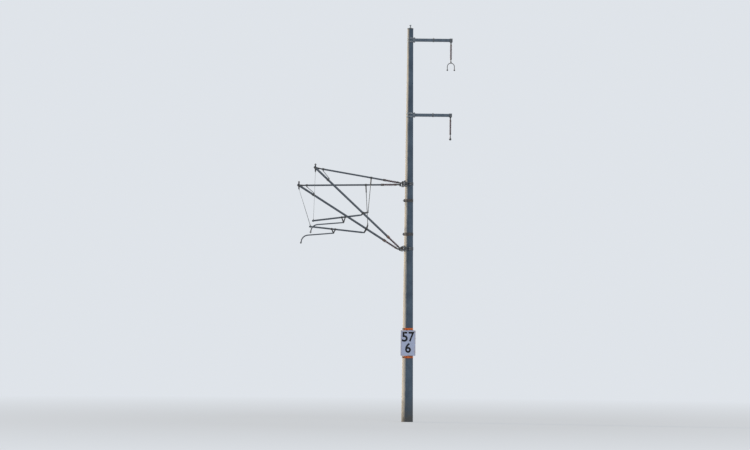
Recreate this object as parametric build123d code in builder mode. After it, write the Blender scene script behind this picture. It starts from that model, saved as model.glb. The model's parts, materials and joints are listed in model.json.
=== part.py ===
from build123d import *
import os
from math import cos, radians, sin

os.makedirs("parts", exist_ok=True)

# Railway catenary mast, in millimetres. The origin is the centre of the pole's foot, +Z is up,
# the track is on -X, the feeder arms are on +X, and Y runs along the track.

# Fits
seat_gap = 0.3
pin_play = 0.05
bolt_play = 0.3

# Spun-concrete pole
pole_height = 12800
pole_foot_diameter = 380
pole_head_diameter = 188
pole_wall = 55
foot_plug = 300
cap_height = 34
cap_overhang = 7
cap_dome = 12

# Clamp for the wire that passes over the head
head_base_length = 110
head_base_width = 70
head_base_height = 10
head_stem_diameter = 30
head_stem_height = 55
head_clamp_length = 80
head_clamp_width = 46
head_clamp_height = 40
head_wire_diameter = 10

# Feeder arms
feeder_below_head = 350
feeder_spacing = 2450
feeder_reach = 1380
feeder_section = 100
feeder_wall = 6
feeder_corner = 10
collar_spread = 104
collar_band_height = 50
collar_thickness = 10
collar_ear_thickness = 12
collar_ear_reach = 44
collar_split = 3
collar_plate = 170
collar_plate_thickness = 14
collar_neck = 26
mid_clamp_from_tip = 640
mid_clamp_width = 40
mid_clamp_thickness = 8
end_box_length = 95
end_box_thickness = 10
end_lug_thickness = 10
end_lug_drop = 42
end_lug_radius = 20
swing_pin_diameter = 16
swing_tongue = 16
swing_tongue_play = 1

# Hanging insulators
hanging_cap_diameter = 56
hanging_cap_length = 55
hanging_cap_shoulder = 10
hanging_cap_play = 5
hanging_core_diameter = 34
hanging_shed_diameter = 78
hanging_small_shed_diameter = 62
hanging_rod_length = 400
hanging_sheds = 11
shed_root = 7
shed_rim = 3
shed_lean = 6
ball_fitting_diameter = 44
ball_fitting_length = 34
ball_stem_diameter = 28
ball_stem_length = 60
wire_clamp_drop = 62
wire_clamp_width = 90
wire_clamp_height = 50
wire_clamp_end_depth = 14
wire_clamp_length = 130
feeder_wire_diameter = 16
wire_clamp_link = 10

# Arched yoke for two wires, under the upper insulator
yoke_half_width = 115
yoke_bar = 22
yoke_thickness = 14
yoke_leg = 95
yoke_clamp_width = 44
yoke_clamp_height = 40
yoke_clamp_length = 110

# Cross-beams, their pole bands and swivel brackets
lower_hinge_height = 5640
hinge_spacing = 2110
cantilever_spacing = 1500
beam_depth = 60
beam_height = 160
beam_wall = 8
beam_end = 70
band_height = 100
band_thickness = 10
band_ear_thickness = 16
band_ear_reach = 52
band_rod_diameter = 22
band_rod_inset = 26
band_rod_spacing = 60
band_rod_overrun = 34
bracket_plate_width = 92
bracket_plate_height = 150
bracket_plate_thickness = 10
ear_thickness = 12
ear_radius = 30
ear_gap = 1
barrel_radius = 26
barrel_height = 70
hinge_pin_diameter = 24
hinge_pin_head_diameter = 40
hinge_pin_head = 9
swivel_clearance = 6
fork_reach = 72
fork_radius = 23
fork_width = 48
fork_pin_diameter = 20
fork_web = 12
tongue_thickness = 25
tongue_play = 1

# Tube insulators
insulator_tongue = 48
insulator_cap_diameter = 66
insulator_cap_length = 58
insulator_core_diameter = 44
insulator_shed_diameter = 96
insulator_small_shed_diameter = 78
insulator_shed_count = 8
insulator_shed_length = 360
socket_length = 100
socket_depth = 62
socket_wall = 10

# Tubes
top_tube_diameter = 55
diagonal_diameter = 70
registration_diameter = 55
steady_diameter = 40
tube_wall = 4
plug_length = 30
eye_radius = 22
eye_tongue = 16
eye_pin_diameter = 16
eye_play = 1
lug_thickness = 8
ring_wall = 9
ring_length = 60
clamp_ear_reach = 26
clamp_ear_height = 26
clamp_split = 3
tip_overrun = 60
tip_eye_distance = 155
gusset_top_distance = 260
gusset_low_distance = 560
gusset_lug = 14
gusset_rod_diameter = 20

# Catenary-wire clamp at each tip
catenary_lift = 108
catenary_wire_diameter = 14
catenary_clamp_width = 60
catenary_clamp_height = 44
catenary_clamp_length = 90
catenary_clamp_corner = 18

# Hangers, registration joints and support wires
hanger_rod_diameter = 22
hanger_sleeve_diameter = 40
hanger_sleeve_length = 200
joint_lug_up = 125
support_wire_diameter = 8
support_knob_diameter = 22
support_knob_length = 26
support_ring_inset = 45

# Drop brackets and steady arms
drop_ring_length = 40
drop_ring_spacing = 120
drop_link_radius = 16
steady_rise = -5
steady_fall = 80
steady_bend_radius = 240
steady_tail = 30
contact_wire_diameter = 12
contact_clamp_width = 46
contact_clamp_height = 52
contact_clamp_length = 60
contact_clamp_corner = 14

# Bands round the pole with an eye for a cross wire
wire_band_below_hinge = 545
wire_band_spacing = 1095
wire_band_height = 100
wire_band_thickness = 5
wire_eye_reach = 30
wire_eye_radius = 24
wire_eye_thickness = 20
wire_eye_hole = 18

# Kilometre board
board_width = 480
board_height = 830
board_centre = 2565
board_depth = 18
board_sheet = 3
board_corner = 18
rail_width = 60
rail_depth = 22
strap_height = 62
strap_thickness = 4
strap_from_board = 12
strap_lug_width = 84

upper_hinge_height = lower_hinge_height + hinge_spacing
upper_feeder_height = pole_height - feeder_below_head
lower_feeder_height = upper_feeder_height - feeder_spacing

# Where each cantilever stands and how far it reaches: distances out from the pole's axis, the tip's
# height above the upper hinge, and the registration tube's rise from its eye to its end. The hanger's
# lug stands down the diagonal from the joint by its shift.
cantilevers = {
    "near": {
        "y": -cantilever_spacing / 2,
        "tip_out": 3075,
        "tip_rise": 463,
        "hanger_out": 1265,
        "joint_out": 1520,
        "hanger_shift": 100,
        "lug_down": 85,
        "registration_out": 3170,
        "registration_rise": -204,
        "drop_out": 2150,
        "eye_drop": 175,
        "arm_reach": 1060,
    },
    "far": {
        "y": cantilever_spacing / 2,
        "tip_out": 3575,
        "tip_rise": -56,
        "hanger_out": 1380,
        "joint_out": 1350,
        "hanger_shift": -30,
        "lug_down": 145,
        "registration_out": 3230,
        "registration_rise": 185,
        "drop_out": 2430,
        "eye_drop": 130,
        "arm_reach": 1060,
    },
}


def pole_radius(height):
    """The pole's outer radius at a height above the foot."""
    return (pole_foot_diameter + (pole_head_diameter - pole_foot_diameter) * height / pole_height) / 2


def save(piece, name):
    """Name a finished piece and write it."""
    piece.part.label = name
    export_step(piece.part, f"parts/{name}.step")


def cross_plane(point, direction):
    """The plane square to a tube at a point on its axis."""
    return Plane(origin=point, x_dir=(0, 1, 0), z_dir=direction)


def side_plane(y):
    """The upright plane across the track at a distance along it, with local x = X and y = Z."""
    return Plane.XZ.offset(-y)


def add_bar(start, end, diameter, mode=Mode.ADD):
    """A round bar from one point to another."""
    with BuildSketch(cross_plane(start, end - start)) as profile:
        Circle(diameter / 2)
    extrude(profile.sketch, amount=(end - start).length, mode=mode)


def add_tube(start, end, diameter):
    """A round tube from one point to another."""
    with BuildSketch(cross_plane(start, end - start)) as profile:
        Circle(diameter / 2)
        Circle(diameter / 2 - tube_wall, mode=Mode.SUBTRACT)
    extrude(profile.sketch, amount=(end - start).length)


def add_link(y, ends, thickness, mode=Mode.ADD):
    """A flat link with round ends, upright and across the track; ends are (point, radius)."""
    with BuildSketch(side_plane(y)) as profile:
        for point, radius in ends:
            with Locations((point.X, point.Z)):
                Circle(radius)
        make_hull()
    extrude(profile.sketch, amount=thickness / 2, both=True, mode=mode)


def add_fork(ends, tongue, play):
    """Two link plates on either side of a tongue."""
    y = ends[0][0].Y
    shift = tongue / 2 + play + lug_thickness / 2
    for side in (-shift, shift):
        add_link(y + side, ends, lug_thickness)


def add_cross_pin(point, diameter, length, mode=Mode.ADD):
    """A round pin or hole along the track through a point."""
    with BuildSketch(side_plane(point.Y)) as profile:
        with Locations((point.X, point.Z)):
            Circle(diameter / 2)
    extrude(profile.sketch, amount=length / 2, both=True, mode=mode)


def add_ring(centre, direction, tube_diameter, length):
    """The outside of a clamp round a tube, before its bore is cut."""
    reach = direction * (length / 2)
    add_bar(centre - reach, centre + reach, tube_diameter + 2 * (seat_gap + ring_wall))


def cut_bore(centre, direction, tube_diameter, length):
    """The bore of a clamp round a tube."""
    reach = direction * length
    add_bar(centre - reach, centre + reach, tube_diameter + 2 * seat_gap, Mode.SUBTRACT)


def add_ears(centre, direction, tube_diameter, length):
    """The ears on both sides of a clamp ring, for its bolts."""
    reach = tube_diameter / 2 + seat_gap + ring_wall + clamp_ear_reach
    with BuildSketch(cross_plane(centre, direction)) as profile:
        Rectangle(2 * reach, clamp_ear_height)
    extrude(profile.sketch, amount=length / 2, both=True)


def cut_split(centre, direction, tube_diameter, length):
    """The gap between a clamp's two halves, through its ring and ears."""
    reach = tube_diameter / 2 + seat_gap + ring_wall + clamp_ear_reach
    with BuildSketch(cross_plane(centre, direction)) as profile:
        Rectangle(4 * reach, clamp_split)
    extrude(profile.sketch, amount=length, both=True, mode=Mode.SUBTRACT)


def cut_pole(height, play):
    """Take the pole's own space, and a little play, out of what is clamped to it."""
    reach = collar_spread + collar_band_height
    with BuildSketch(Plane.XZ) as profile:
        with BuildLine():
            Polyline(
                (0, height - reach),
                (pole_radius(height - reach) + play, height - reach),
                (pole_radius(height + reach) + play, height + reach),
                (0, height + reach),
                close=True,
            )
        make_face()
    revolve(profile.sketch, axis=Axis.Z, mode=Mode.SUBTRACT)


def add_pole_ring(height, ring_height, thickness):
    """The outside of a band round the pole, before the pole's space is cut."""
    low, high = height - ring_height / 2, height + ring_height / 2
    with BuildSketch(Plane.XZ) as profile:
        with BuildLine():
            Polyline(
                (0, low),
                (pole_radius(low) + seat_gap + thickness, low),
                (pole_radius(high) + seat_gap + thickness, high),
                (0, high),
                close=True,
            )
        make_face()
    revolve(profile.sketch, axis=Axis.Z)


def shed_profile(start, core, sheds, count, length, lean):
    """Points of an insulator's thin sheds along its axis, large and small by turns, whose rims lean
    along it: distance along it, and radius."""
    pitch = length / (2 * count)
    points = [(start, core)]
    for number in range(2 * count):
        root = start + number * pitch + (pitch - shed_root) / 2
        rim = root + (shed_root - shed_rim) / 2 + lean
        points += [(root, core), (rim, sheds[number % 2]), (rim + shed_rim, sheds[number % 2])]
        points += [(root + shed_root, core)]
    return points


def make_pole():
    """The hollow tapered pole, its foot closed by a plug."""
    bore_foot = pole_radius(foot_plug) - pole_wall
    bore_head = pole_radius(pole_height) - pole_wall
    with BuildPart() as mast_pole:
        with BuildSketch(Plane.XZ):
            with BuildLine():
                Polyline(
                    (0, 0),
                    (pole_radius(0), 0),
                    (pole_radius(pole_height), pole_height),
                    (bore_head, pole_height),
                    (bore_foot, foot_plug),
                    (0, foot_plug),
                    close=True,
                )
            make_face()
        revolve(axis=Axis.Z)
    save(mast_pole, "mast_pole")


def make_cap():
    """The shallow domed cap on the pole's head."""
    edge = pole_radius(pole_height) + cap_overhang
    with BuildPart() as mast_cap:
        with BuildSketch(Plane.XY.offset(pole_height)):
            Circle(edge)
        extrude(amount=cap_height)
        chamfer(mast_cap.edges().filter_by(GeomType.CIRCLE).sort_by(Axis.Z)[-1], length=cap_dome)
    save(mast_cap, "mast_cap")


def make_head_clamp():
    """The clamp that holds the wire over the head."""
    seat = pole_height + cap_height
    stem_top = seat + head_base_height + head_stem_height
    wire_height = stem_top + head_clamp_height / 2
    with BuildPart() as head_wire_clamp:
        with BuildSketch(Plane.XY.offset(seat)):
            RectangleRounded(head_base_width, head_base_length, head_base_height)
        extrude(amount=head_base_height)
        with BuildSketch(Plane.XY.offset(seat + head_base_height)):
            Circle(head_stem_diameter / 2)
        extrude(amount=head_stem_height)
        with BuildSketch(Plane.XY.offset(stem_top)):
            RectangleRounded(head_clamp_width, head_clamp_length, head_base_height)
        extrude(amount=head_clamp_height)
        add_cross_pin(Vector(0, 0, wire_height), head_wire_diameter, head_clamp_length * 2, Mode.SUBTRACT)
    save(head_wire_clamp, "head_wire_clamp")


def collar_face(height):
    """The distance from the pole's axis to the face that a feeder arm is bolted to."""
    return pole_radius(height) + collar_thickness + collar_neck + collar_plate_thickness


def make_feeder_arm(side, height):
    """A feeder arm with the collar that holds it and the fitting on its tip."""
    face = collar_face(height)
    neck_end = face - collar_plate_thickness
    split_width = 2 * collar_ear_thickness + collar_split
    with BuildPart() as feeder_collar:
        for band in (height - collar_spread / 2, height + collar_spread / 2):
            ear_end = pole_radius(band) + seat_gap + collar_thickness + collar_ear_reach
            add_pole_ring(band, collar_band_height, collar_thickness)
            with BuildSketch(Plane.XY.offset(band)):
                Rectangle(split_width, 2 * ear_end)
            extrude(amount=collar_band_height / 2, both=True)
        with BuildSketch(Plane.XY.offset(height)):
            Rectangle(collar_split, 4 * face)
        extrude(amount=collar_spread, both=True, mode=Mode.SUBTRACT)
        with BuildSketch(Plane.YZ):
            with Locations((0, height)):
                Rectangle(feeder_section, collar_spread + collar_band_height)
        extrude(amount=neck_end)
        with BuildSketch(Plane.YZ.offset(neck_end)):
            with Locations((0, height)):
                RectangleRounded(collar_plate, collar_plate, feeder_corner)
        extrude(amount=collar_plate_thickness)
        cut_pole(height, seat_gap)
    save(feeder_collar, f"{side}_feeder_collar")

    with BuildPart() as feeder_arm:
        with BuildSketch(Plane.YZ.offset(face)):
            with Locations((0, height)):
                RectangleRounded(feeder_section, feeder_section, feeder_corner)
                inner = feeder_section - 2 * feeder_wall
                RectangleRounded(inner, inner, feeder_corner - feeder_wall, mode=Mode.SUBTRACT)
        extrude(amount=feeder_reach - end_box_thickness - seat_gap - face)
    save(feeder_arm, f"{side}_feeder_arm")

    socket = feeder_section + 2 * seat_gap
    with BuildPart() as feeder_end:
        with BuildSketch(Plane.YZ.offset(feeder_reach - end_box_length)):
            with Locations((0, height)):
                outer = socket + 2 * end_box_thickness
                RectangleRounded(outer, outer, feeder_corner + end_box_thickness)
        extrude(amount=end_box_length)
        pivot = swing_pivot(height)
        root = Vector(pivot.X, 0, height - feeder_section / 2)
        shift = swing_tongue / 2 + swing_tongue_play + end_lug_thickness / 2
        for y in (-shift, shift):
            add_link(y, [(root, end_lug_radius * 1.6), (pivot, end_lug_radius)], end_lug_thickness)
        with BuildSketch(Plane.YZ.offset(feeder_reach - end_box_length)):
            with Locations((0, height)):
                RectangleRounded(socket, socket, feeder_corner)
        extrude(amount=end_box_length - end_box_thickness, mode=Mode.SUBTRACT)
        pin_length = swing_tongue + 2 * (swing_tongue_play + end_lug_thickness) + end_lug_thickness
        add_cross_pin(pivot, swing_pin_diameter, pin_length)
    save(feeder_end, f"{side}_feeder_end")


def swing_pivot(height):
    """The pin that a hanging insulator swings on."""
    below = feeder_section / 2 + seat_gap + end_box_thickness + end_lug_drop
    return Vector(feeder_reach - end_box_length / 2, 0, height - below)


def make_mid_clamp(side, height):
    """The clamp halfway along a feeder arm."""
    socket = feeder_section + 2 * seat_gap
    outer = socket + 2 * mid_clamp_thickness
    with BuildPart() as mid_clamp:
        with BuildSketch(Plane.YZ.offset(feeder_reach - mid_clamp_from_tip)):
            with Locations((0, height)):
                RectangleRounded(outer, outer, feeder_corner + mid_clamp_thickness)
                RectangleRounded(socket, socket, feeder_corner, mode=Mode.SUBTRACT)
        extrude(amount=mid_clamp_width)
    save(mid_clamp, f"{side}_feeder_mid_clamp")


def hanging_end(height):
    """The lowest point of a hanging insulator's ball fitting."""
    length = end_lug_radius + hanging_cap_play + 2 * hanging_cap_length + hanging_rod_length
    length += ball_stem_length + ball_fitting_length
    return swing_pivot(height) - Vector(0, 0, length)


def make_hanging_insulator(side, height):
    """A long-rod insulator with its caps, hung by a tongue from the arm's tip."""
    pivot = swing_pivot(height)
    cap_top = end_lug_radius + hanging_cap_play
    rod_top = cap_top + hanging_cap_length
    rod_end = rod_top + hanging_rod_length
    cap_end = rod_end + hanging_cap_length
    stem_end = cap_end + ball_stem_length
    fitting_end = stem_end + ball_fitting_length
    cap, core = hanging_cap_diameter / 2, hanging_core_diameter / 2
    shoulder = hanging_cap_shoulder
    stem, fitting = ball_stem_diameter / 2, ball_fitting_diameter / 2
    rims = (hanging_shed_diameter / 2, hanging_small_shed_diameter / 2)
    sheds = shed_profile(rod_top, core, rims, hanging_sheds, hanging_rod_length, shed_lean)
    outline = [(cap_top, 0), (cap_top, cap - shoulder), (cap_top + shoulder, cap), (rod_top, cap)] + sheds
    outline += [(rod_end, core), (rod_end, cap), (cap_end - shoulder, cap), (cap_end, cap - shoulder)]
    outline += [(cap_end, stem), (stem_end, stem)]
    outline += [(stem_end, fitting), (fitting_end, fitting), (fitting_end, 0)]
    with BuildPart() as insulator:
        with BuildSketch(Plane(origin=pivot, x_dir=(0, 0, -1), z_dir=(0, 1, 0))):
            with BuildLine():
                Polyline(*outline, close=True)
            make_face()
        revolve(axis=Axis(pivot, (0, 0, -1)))
        below = pivot - Vector(0, 0, cap_top + cap / 2)
        add_link(0, [(pivot, end_lug_radius - 2), (below, end_lug_radius - 2)], swing_tongue)
        add_cross_pin(pivot, swing_pin_diameter + 2 * pin_play, swing_tongue * 2, Mode.SUBTRACT)
    save(insulator, f"{side}_feeder_insulator")


def make_lower_wire_clamp():
    """The suspension clamp for the single lower feeder wire."""
    top = hanging_end(lower_feeder_height)
    wire = top - Vector(0, 0, wire_clamp_drop)
    half_length, half_height = wire_clamp_length / 2, wire_clamp_height / 2
    with BuildPart() as clamp_body:
        with BuildSketch(Plane.XZ):
            with Locations((wire.X, wire.Z)):
                Trapezoid(wire_clamp_width, wire_clamp_height, 60, rotation=180)
        extrude(amount=half_length, both=True)
        with BuildSketch(Plane.YZ.offset(wire.X - wire_clamp_width)):
            with BuildLine():
                keel_end = wire.Z - wire_clamp_end_depth
                ThreePointArc((-half_length, keel_end), (0, wire.Z - half_height), (half_length, keel_end))
                Polyline(
                    (half_length, keel_end),
                    (half_length, wire.Z + half_height),
                    (-half_length, wire.Z + half_height),
                    (-half_length, keel_end),
                )
            make_face()
        extrude(amount=2 * wire_clamp_width, mode=Mode.INTERSECT)
        add_link(0, [(top - Vector(0, 0, wire_clamp_link), wire_clamp_link), (wire, 20)], wire_clamp_link)
        add_cross_pin(wire, feeder_wire_diameter, wire_clamp_length * 2, Mode.SUBTRACT)
    save(clamp_body, "lower_wire_clamp")


def make_yoke():
    """The arched yoke under the upper insulator, and the clamps on its two legs."""
    top = hanging_end(upper_feeder_height)
    arch = top - Vector(0, 0, yoke_half_width + yoke_bar / 2)
    outer, inner = yoke_half_width + yoke_bar / 2, yoke_half_width - yoke_bar / 2
    with BuildPart() as yoke:
        with BuildSketch(Plane.XZ):
            with Locations((arch.X, arch.Z)):
                Circle(outer)
                Circle(inner, mode=Mode.SUBTRACT)
            with Locations((arch.X, arch.Z - outer)):
                Rectangle(2 * outer, 2 * outer, mode=Mode.SUBTRACT)
            for side in (-yoke_half_width, yoke_half_width):
                with Locations((arch.X + side, arch.Z - yoke_leg / 2)):
                    Rectangle(yoke_bar, yoke_leg)
        extrude(amount=yoke_thickness / 2, both=True)
    save(yoke, "upper_wire_yoke")

    centre = arch.Z - yoke_leg - yoke_clamp_height / 2
    with BuildPart() as yoke_clamps:
        with BuildSketch(Plane.XZ):
            for side in (-yoke_half_width, yoke_half_width):
                with Locations((arch.X + side, centre)):
                    RectangleRounded(yoke_clamp_width, yoke_clamp_height, 10)
                    Circle(feeder_wire_diameter / 2, mode=Mode.SUBTRACT)
        extrude(amount=yoke_clamp_length / 2, both=True)
    save(yoke_clamps, "upper_wire_clamps")


def beam_back(height):
    """How far the edges of a cross-beam's flanges stand from the pole's axis."""
    return pole_radius(height - beam_height / 2) + seat_gap


hinge_out = (
    beam_back(lower_hinge_height)
    + beam_depth
    + bracket_plate_thickness
    + barrel_radius
    + swivel_clearance
)


def make_cross_beam(level, height):
    """A channel beam on the track side of the pole, and the half band behind the pole, whose rods
    pass through the beam's web."""
    back = beam_back(height)
    face = back + beam_depth
    length = cantilever_spacing + 2 * beam_end
    ear_end = pole_radius(height) + seat_gap + band_thickness + band_ear_reach
    rod_out = ear_end - band_rod_inset
    rods = [(y, height + z) for y in (-rod_out, rod_out) for z in (-band_rod_spacing / 2, band_rod_spacing / 2)]
    with BuildPart() as beam:
        with BuildSketch(Plane.XZ.offset(-length / 2)):
            with Locations((-back - beam_depth / 2, height)):
                Rectangle(beam_depth, beam_height)
            with Locations((-back, height)):
                Rectangle(2 * (beam_depth - beam_wall), beam_height - 2 * beam_wall, mode=Mode.SUBTRACT)
        extrude(amount=length)
        with BuildSketch(Plane.YZ.offset(-face)):
            with Locations(*rods):
                Circle(band_rod_diameter / 2 + bolt_play)
        extrude(amount=beam_depth, mode=Mode.SUBTRACT)
    save(beam, f"{level}_cross_beam")

    with BuildPart() as band:
        add_pole_ring(height, band_height, band_thickness)
        with BuildSketch(Plane.XY.offset(height)):
            Rectangle(2 * band_ear_thickness, 2 * ear_end)
        extrude(amount=band_height / 2, both=True)
        cut_pole(height, seat_gap)
        split(bisect_by=Plane.YZ, keep=Keep.TOP)
        with BuildSketch(Plane.YZ.offset(-face - band_rod_overrun)):
            with Locations(*rods):
                Circle(band_rod_diameter / 2)
        extrude(amount=face + 2 * band_rod_overrun + band_ear_thickness)
    save(band, f"{level}_beam_band")


def make_brackets(side, y):
    """The two swivel brackets of one cantilever, on its upper and lower cross-beam."""
    for level, height in (("upper", upper_hinge_height), ("lower", lower_hinge_height)):
        face = -(beam_back(height) + beam_depth)
        plate = face - bracket_plate_thickness
        ear_centre = barrel_height / 2 + ear_gap + ear_thickness / 2
        with BuildPart() as bracket:
            with BuildSketch(Plane.YZ.offset(face)):
                with Locations((y, height)):
                    RectangleRounded(bracket_plate_width, bracket_plate_height, ear_thickness)
            extrude(amount=-bracket_plate_thickness)
            for z in (height - ear_centre, height + ear_centre):
                with BuildSketch(Plane.XY.offset(z)):
                    with Locations((-hinge_out, y)):
                        Circle(ear_radius)
                    with Locations((plate, y)):
                        Rectangle(1, 2 * ear_radius, align=(Align.MIN, Align.CENTER))
                    make_hull()
                extrude(amount=ear_thickness / 2, both=True)
            with BuildSketch(Plane.XY.offset(height)):
                with Locations((-hinge_out, y)):
                    Circle(hinge_pin_diameter / 2 + pin_play)
            extrude(amount=barrel_height, both=True, mode=Mode.SUBTRACT)
        save(bracket, f"{side}_{level}_bracket")


def make_swivel(side, level, y, height):
    """A swivel with its upright hinge pin and the fork that holds a tube's insulator."""
    hinge = Vector(-hinge_out, y, height)
    fork = hinge - Vector(fork_reach, 0, 0)
    half_pin = barrel_height / 2 + ear_gap + ear_thickness
    with BuildPart() as swivel:
        with BuildSketch(Plane(origin=hinge)):
            Circle(barrel_radius)
        extrude(amount=barrel_height / 2, both=True)
        add_link(y, [(hinge, barrel_radius), (fork, fork_radius)], fork_width)
        slot_end = fork.X + fork_reach - barrel_radius - fork_web
        with BuildSketch(side_plane(y)):
            with Locations((slot_end, height)):
                Rectangle(2 * fork_reach, barrel_height, align=(Align.MAX, Align.CENTER))
        extrude(amount=tongue_thickness / 2 + tongue_play, both=True, mode=Mode.SUBTRACT)
        with BuildSketch(Plane(origin=hinge)):
            Circle(hinge_pin_diameter / 2)
        extrude(amount=half_pin + ear_gap, both=True)
        for end in (-1, 1):
            with BuildSketch(Plane(origin=hinge + Vector(0, 0, end * (half_pin + ear_gap)))):
                Circle(hinge_pin_head_diameter / 2)
            extrude(amount=end * hinge_pin_head)
        add_cross_pin(fork, fork_pin_diameter, fork_width + fork_pin_diameter)
    save(swivel, f"{side}_{level}_swivel")
    return fork


def make_tube_insulator(name, fork, direction, tube_diameter):
    """An insulator between a swivel's fork and a tube, which sits in its socket."""
    cap_end = insulator_tongue + insulator_cap_length
    sheds_end = cap_end + insulator_shed_length
    socket_end = sheds_end + socket_length
    cap, core = insulator_cap_diameter / 2, insulator_core_diameter / 2
    socket = tube_diameter / 2 + seat_gap + socket_wall
    bore = tube_diameter / 2 + seat_gap
    rims = (insulator_shed_diameter / 2, insulator_small_shed_diameter / 2)
    outline = [(insulator_tongue, 0), (insulator_tongue, cap), (cap_end, cap)]
    outline += shed_profile(cap_end, core, rims, insulator_shed_count, insulator_shed_length, -shed_lean)
    outline += [(sheds_end, core), (sheds_end, socket), (socket_end, socket), (socket_end, bore)]
    outline += [(socket_end - socket_depth, bore), (socket_end - socket_depth, 0)]
    with BuildPart() as insulator:
        with BuildSketch(Plane(origin=fork, x_dir=direction, z_dir=(0, 1, 0))):
            with BuildLine():
                Polyline(*outline, close=True)
            make_face()
        revolve(axis=Axis(fork, direction))
        neck = fork + direction * (insulator_tongue + cap / 2)
        add_link(fork.Y, [(fork, fork_radius), (neck, fork_radius)], tongue_thickness)
        add_cross_pin(fork, fork_pin_diameter + 2 * bolt_play, 2 * tongue_thickness, Mode.SUBTRACT)
    save(insulator, name)
    return fork + direction * (socket_end - socket_depth + seat_gap)


def make_eyed_tube(name, start, end, diameter):
    """A tube whose far end is plugged and flattened into an eye."""
    direction = (end - start).normalized()
    tube_end = end - direction * (eye_radius + plug_length)
    with BuildPart() as tube:
        add_tube(start, tube_end, diameter)
        add_bar(tube_end - direction * plug_length, tube_end, diameter)
        add_link(end.Y, [(tube_end, eye_radius), (end, eye_radius)], eye_tongue)
        add_cross_pin(end, eye_pin_diameter + 2 * bolt_play, 2 * eye_tongue, Mode.SUBTRACT)
    save(tube, name)


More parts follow.
